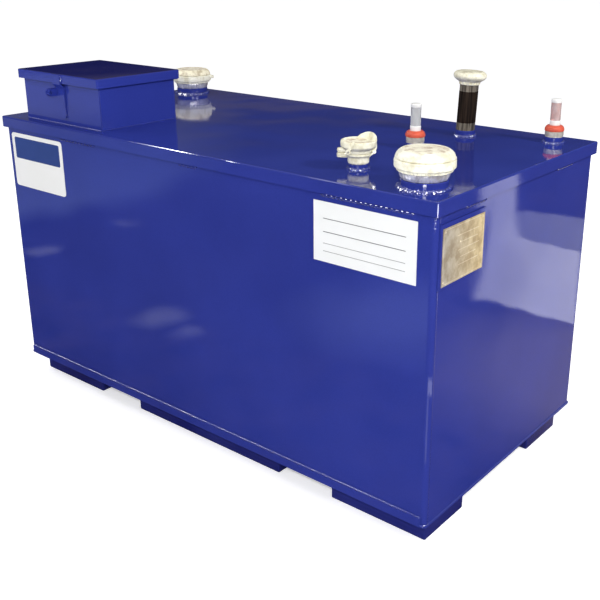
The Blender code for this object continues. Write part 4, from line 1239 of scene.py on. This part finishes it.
def glowing_panel(name, points, strength, colour=LAVENDER, weak=DIM_LAVENDER, faces=None, soft=None):
    glow_finish = bpy.data.materials.new(name)
    glow_finish.use_nodes = True
    tree = glow_finish.node_tree
    tree.nodes.remove(tree.nodes["Principled BSDF"])
    glow = tree.nodes.new("ShaderNodeEmission")
    tree.links.new(colours(tree, cloud(tree, 2.5, 3.0), [(0.3, weak), (0.7, colour)]), glow.inputs["Color"])
    glow.inputs["Strength"].default_value = strength
    if soft:
        centre, radius = soft
        tree.links.new(fading(tree, centre, radius, SOFT_CORE, strength), glow.inputs["Strength"])
    tree.links.new(glow.outputs["Emission"], tree.nodes["Material Output"].inputs["Surface"])
    mesh = bpy.data.meshes.new(name)
    mesh.from_pydata(points, [], faces or [tuple(range(len(points)))])
    mesh.materials.append(glow_finish)
    panel = bpy.data.objects.new(name, mesh)
    bpy.context.scene.collection.objects.link(panel)
    panel.visible_camera = panel.visible_diffuse = panel.visible_shadow = panel.visible_transmission = False


BRIGHT_OUTLINE = [(1.24, 0.004), (1.755, 0.004), (1.755, 0.66), (1.60, 0.66), (1.575, 0.45), (1.55, 0.34),
                  (1.24, 0.335)]
HALF_OUTLINE = [(1.24, 0.337), (1.55, 0.342), (1.575, 0.45), (1.50, 0.475), (1.24, 0.50)]
glowing_panel("bright_panel", [(x, PANEL_Y, z) for x, z in BRIGHT_OUTLINE], 2.3)
glowing_panel("half_bright_panel", [(x, PANEL_Y, z) for x, z in HALF_OUTLINE], 0.9)
print("the patch's panels stand at y =", PANEL_Y, "m")

# %% [markdown]
# A lamp alone leaves only pinpricks on the beads. Three bright discs in front of the tank give them the
# broad glints that real beads have: one hangs over the camera, one to the left and one to the right. They
# fade towards their rims, because the roof mirrors them too, and a hard square would look odd there.

# %% Hang the discs for the beads
WHITE_GLOW, GREY_GLOW = PURE_WHITE, (0.9, 0.9, 0.95)


def soft_disc(name, centre, facing, width, strength):
    turn = math.radians(facing)
    across, upward = Vector((math.cos(turn), math.sin(turn), 0)) * width / 2, Vector((0, 0, width / 2))
    square = [Vector(centre) + across * i + upward * j for i, j in ((-1, -1), (1, -1), (1, 1), (-1, 1))]
    glowing_panel(name, square, strength, WHITE_GLOW, GREY_GLOW, soft=(centre, width / 2))


soft_disc("glint_panel", (2.22, -2.65, 2.08), 40, 1.15, 52)
soft_disc("left_glint_panel", (0.10, -3.20, 2.20), -10, 0.85, 40)
soft_disc("right_glint_panel", (3.60, -0.40, 2.10), 86, 0.85, 40)
print("discs for the beads: 3")

# %% [markdown]
# The roof's front edge is rolled, and here and there it mirrors the sky as a thin white line that grows
# and fades. A flat panel would smear that line, because every point of a rolled edge looks another way.
# So each strip is bent: its points are found by mirroring the line of sight in the edge, at several tilts,
# and going on from there. Seven strips of different strength make the line swell and die away.

# %% Bend the strips for the roof's edge
CAMERA_PLACE = (1.98477, -2.20784, 1.56423)
EDGE_PANEL_AWAY = 3.6
EDGE_TILTS = range(42, 63, 4)
EDGE_GLINTS = [(-0.200, -0.131, 8), (-0.131, -0.072, 20), (-0.072, -0.030, 45), (-0.030, 0.046, 75),
               (0.046, 0.090, 12), (0.218, 0.241, 50), (0.504, 0.650, 4)]


def strip(name, points, strength):
    faces = [(i, i + 1, i + 3, i + 2) for i in range(0, len(points) - 2, 2)]
    glowing_panel(name, points, strength, WHITE_GLOW, GREY_GLOW, faces=faces)


def edge_strip(name, start, end, strength):
    points = []
    for tilt in EDGE_TILTS:
        normal = Vector((0, -math.sin(math.radians(tilt)), math.cos(math.radians(tilt))))
        for x in (start, end):
            place = Vector((x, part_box("roof")[0].y, roof_top))
            sight = (place - Vector(CAMERA_PLACE)).normalized()
            points.append(place + (sight - 2 * sight.dot(normal) * normal) * EDGE_PANEL_AWAY)
    strip(name, points, strength)


for number, (start, end, strength) in enumerate(EDGE_GLINTS):
    edge_strip("edge_glint_panel_" + str(number + 1), start, end, strength)
print("strips for the roof's edge:", len(EDGE_GLINTS))

# %% [markdown]
# The bent corner at the right front turns from one wall to the other, so it looks to many sides. Its glint
# comes from fans on the floor round its foot: a bright narrow one for the short patch, and a weak one for
# the streak below it. The last panel lies far out on the floor, where the roof's lip mirrors it.

# %% Lay the fans for the corner
CORNER_X, CORNER_Y, FAN_STEPS = 0.915, -0.466, 6


def corner_fan(name, near, far, first, last, strength):
    points = []
    for step in range(FAN_STEPS + 1):
        angle = math.radians(first + (last - first) * step / FAN_STEPS)
        for reach in (near, far):
            points.append((CORNER_X + reach * math.cos(angle), CORNER_Y + reach * math.sin(angle), 0.004))
    strip(name, points, strength)


corner_fan("corner_glint_panel", 0.90, 1.06, -75, 20, 2.7)
corner_fan("low_corner_glint_panel", 0.45, 0.88, -66, -20, 1.2)
LIP_PANEL = [(2.5, -3.4, 0.01), (3.0, -2.7, 0.01), (4.6, -3.9, 0.01), (4.0, -4.8, 0.01)]
glowing_panel("lip_glint_panel", LIP_PANEL, 24, WHITE_GLOW, GREY_GLOW)
print("fans for the corner: 2, and a panel for the lip")

# %% [markdown]
# ## The camera
# The camera stands at eye height, beyond the right front corner, and looks down a
# little. Its place comes from matching the tank's straight edges. The lens is shifted slightly, because
# the tank doesn't sit in the middle of the picture. The Standard view keeps the blue as deep as it is.

# %% Set up the camera
AZIMUTH, ELEVATION, ROLL = [math.radians(degrees) for degrees in (37.951, 19.008, 0.364)]
SENSOR, LENS, SHIFT_X, SHIFT_Y = 36.0, 53.09, -0.0702, -0.0719
level = Vector((math.cos(AZIMUTH), math.sin(AZIMUTH), 0))
outwards = Vector((math.sin(AZIMUTH), -math.cos(AZIMUTH), 0))
away = outwards * math.cos(ELEVATION) + Vector((0, 0, math.sin(ELEVATION)))
rising = away.cross(level)
camera_x = level * math.cos(ROLL) + rising * math.sin(ROLL)
camera_y = rising * math.cos(ROLL) - level * math.sin(ROLL)
lens = bpy.data.cameras.new("camera")
lens.sensor_width, lens.lens, lens.shift_x, lens.shift_y = SENSOR, LENS, SHIFT_X, SHIFT_Y
camera = bpy.data.objects.new("camera", lens)
facing = Matrix((camera_x, camera_y, away)).transposed().to_4x4()
camera.matrix_world = Matrix.Translation(CAMERA_PLACE) @ facing
bpy.context.scene.collection.objects.link(camera)
bpy.context.scene.camera = camera
bpy.context.scene.view_settings.view_transform = "Standard"
print("camera at", CAMERA_PLACE)

# %% [markdown]
# ## The last look
# The number of pieces made and their triangles is printed.

# %% Measure, and finish
print("pieces made:", len(made), "with", sum(made.values()), "triangles")
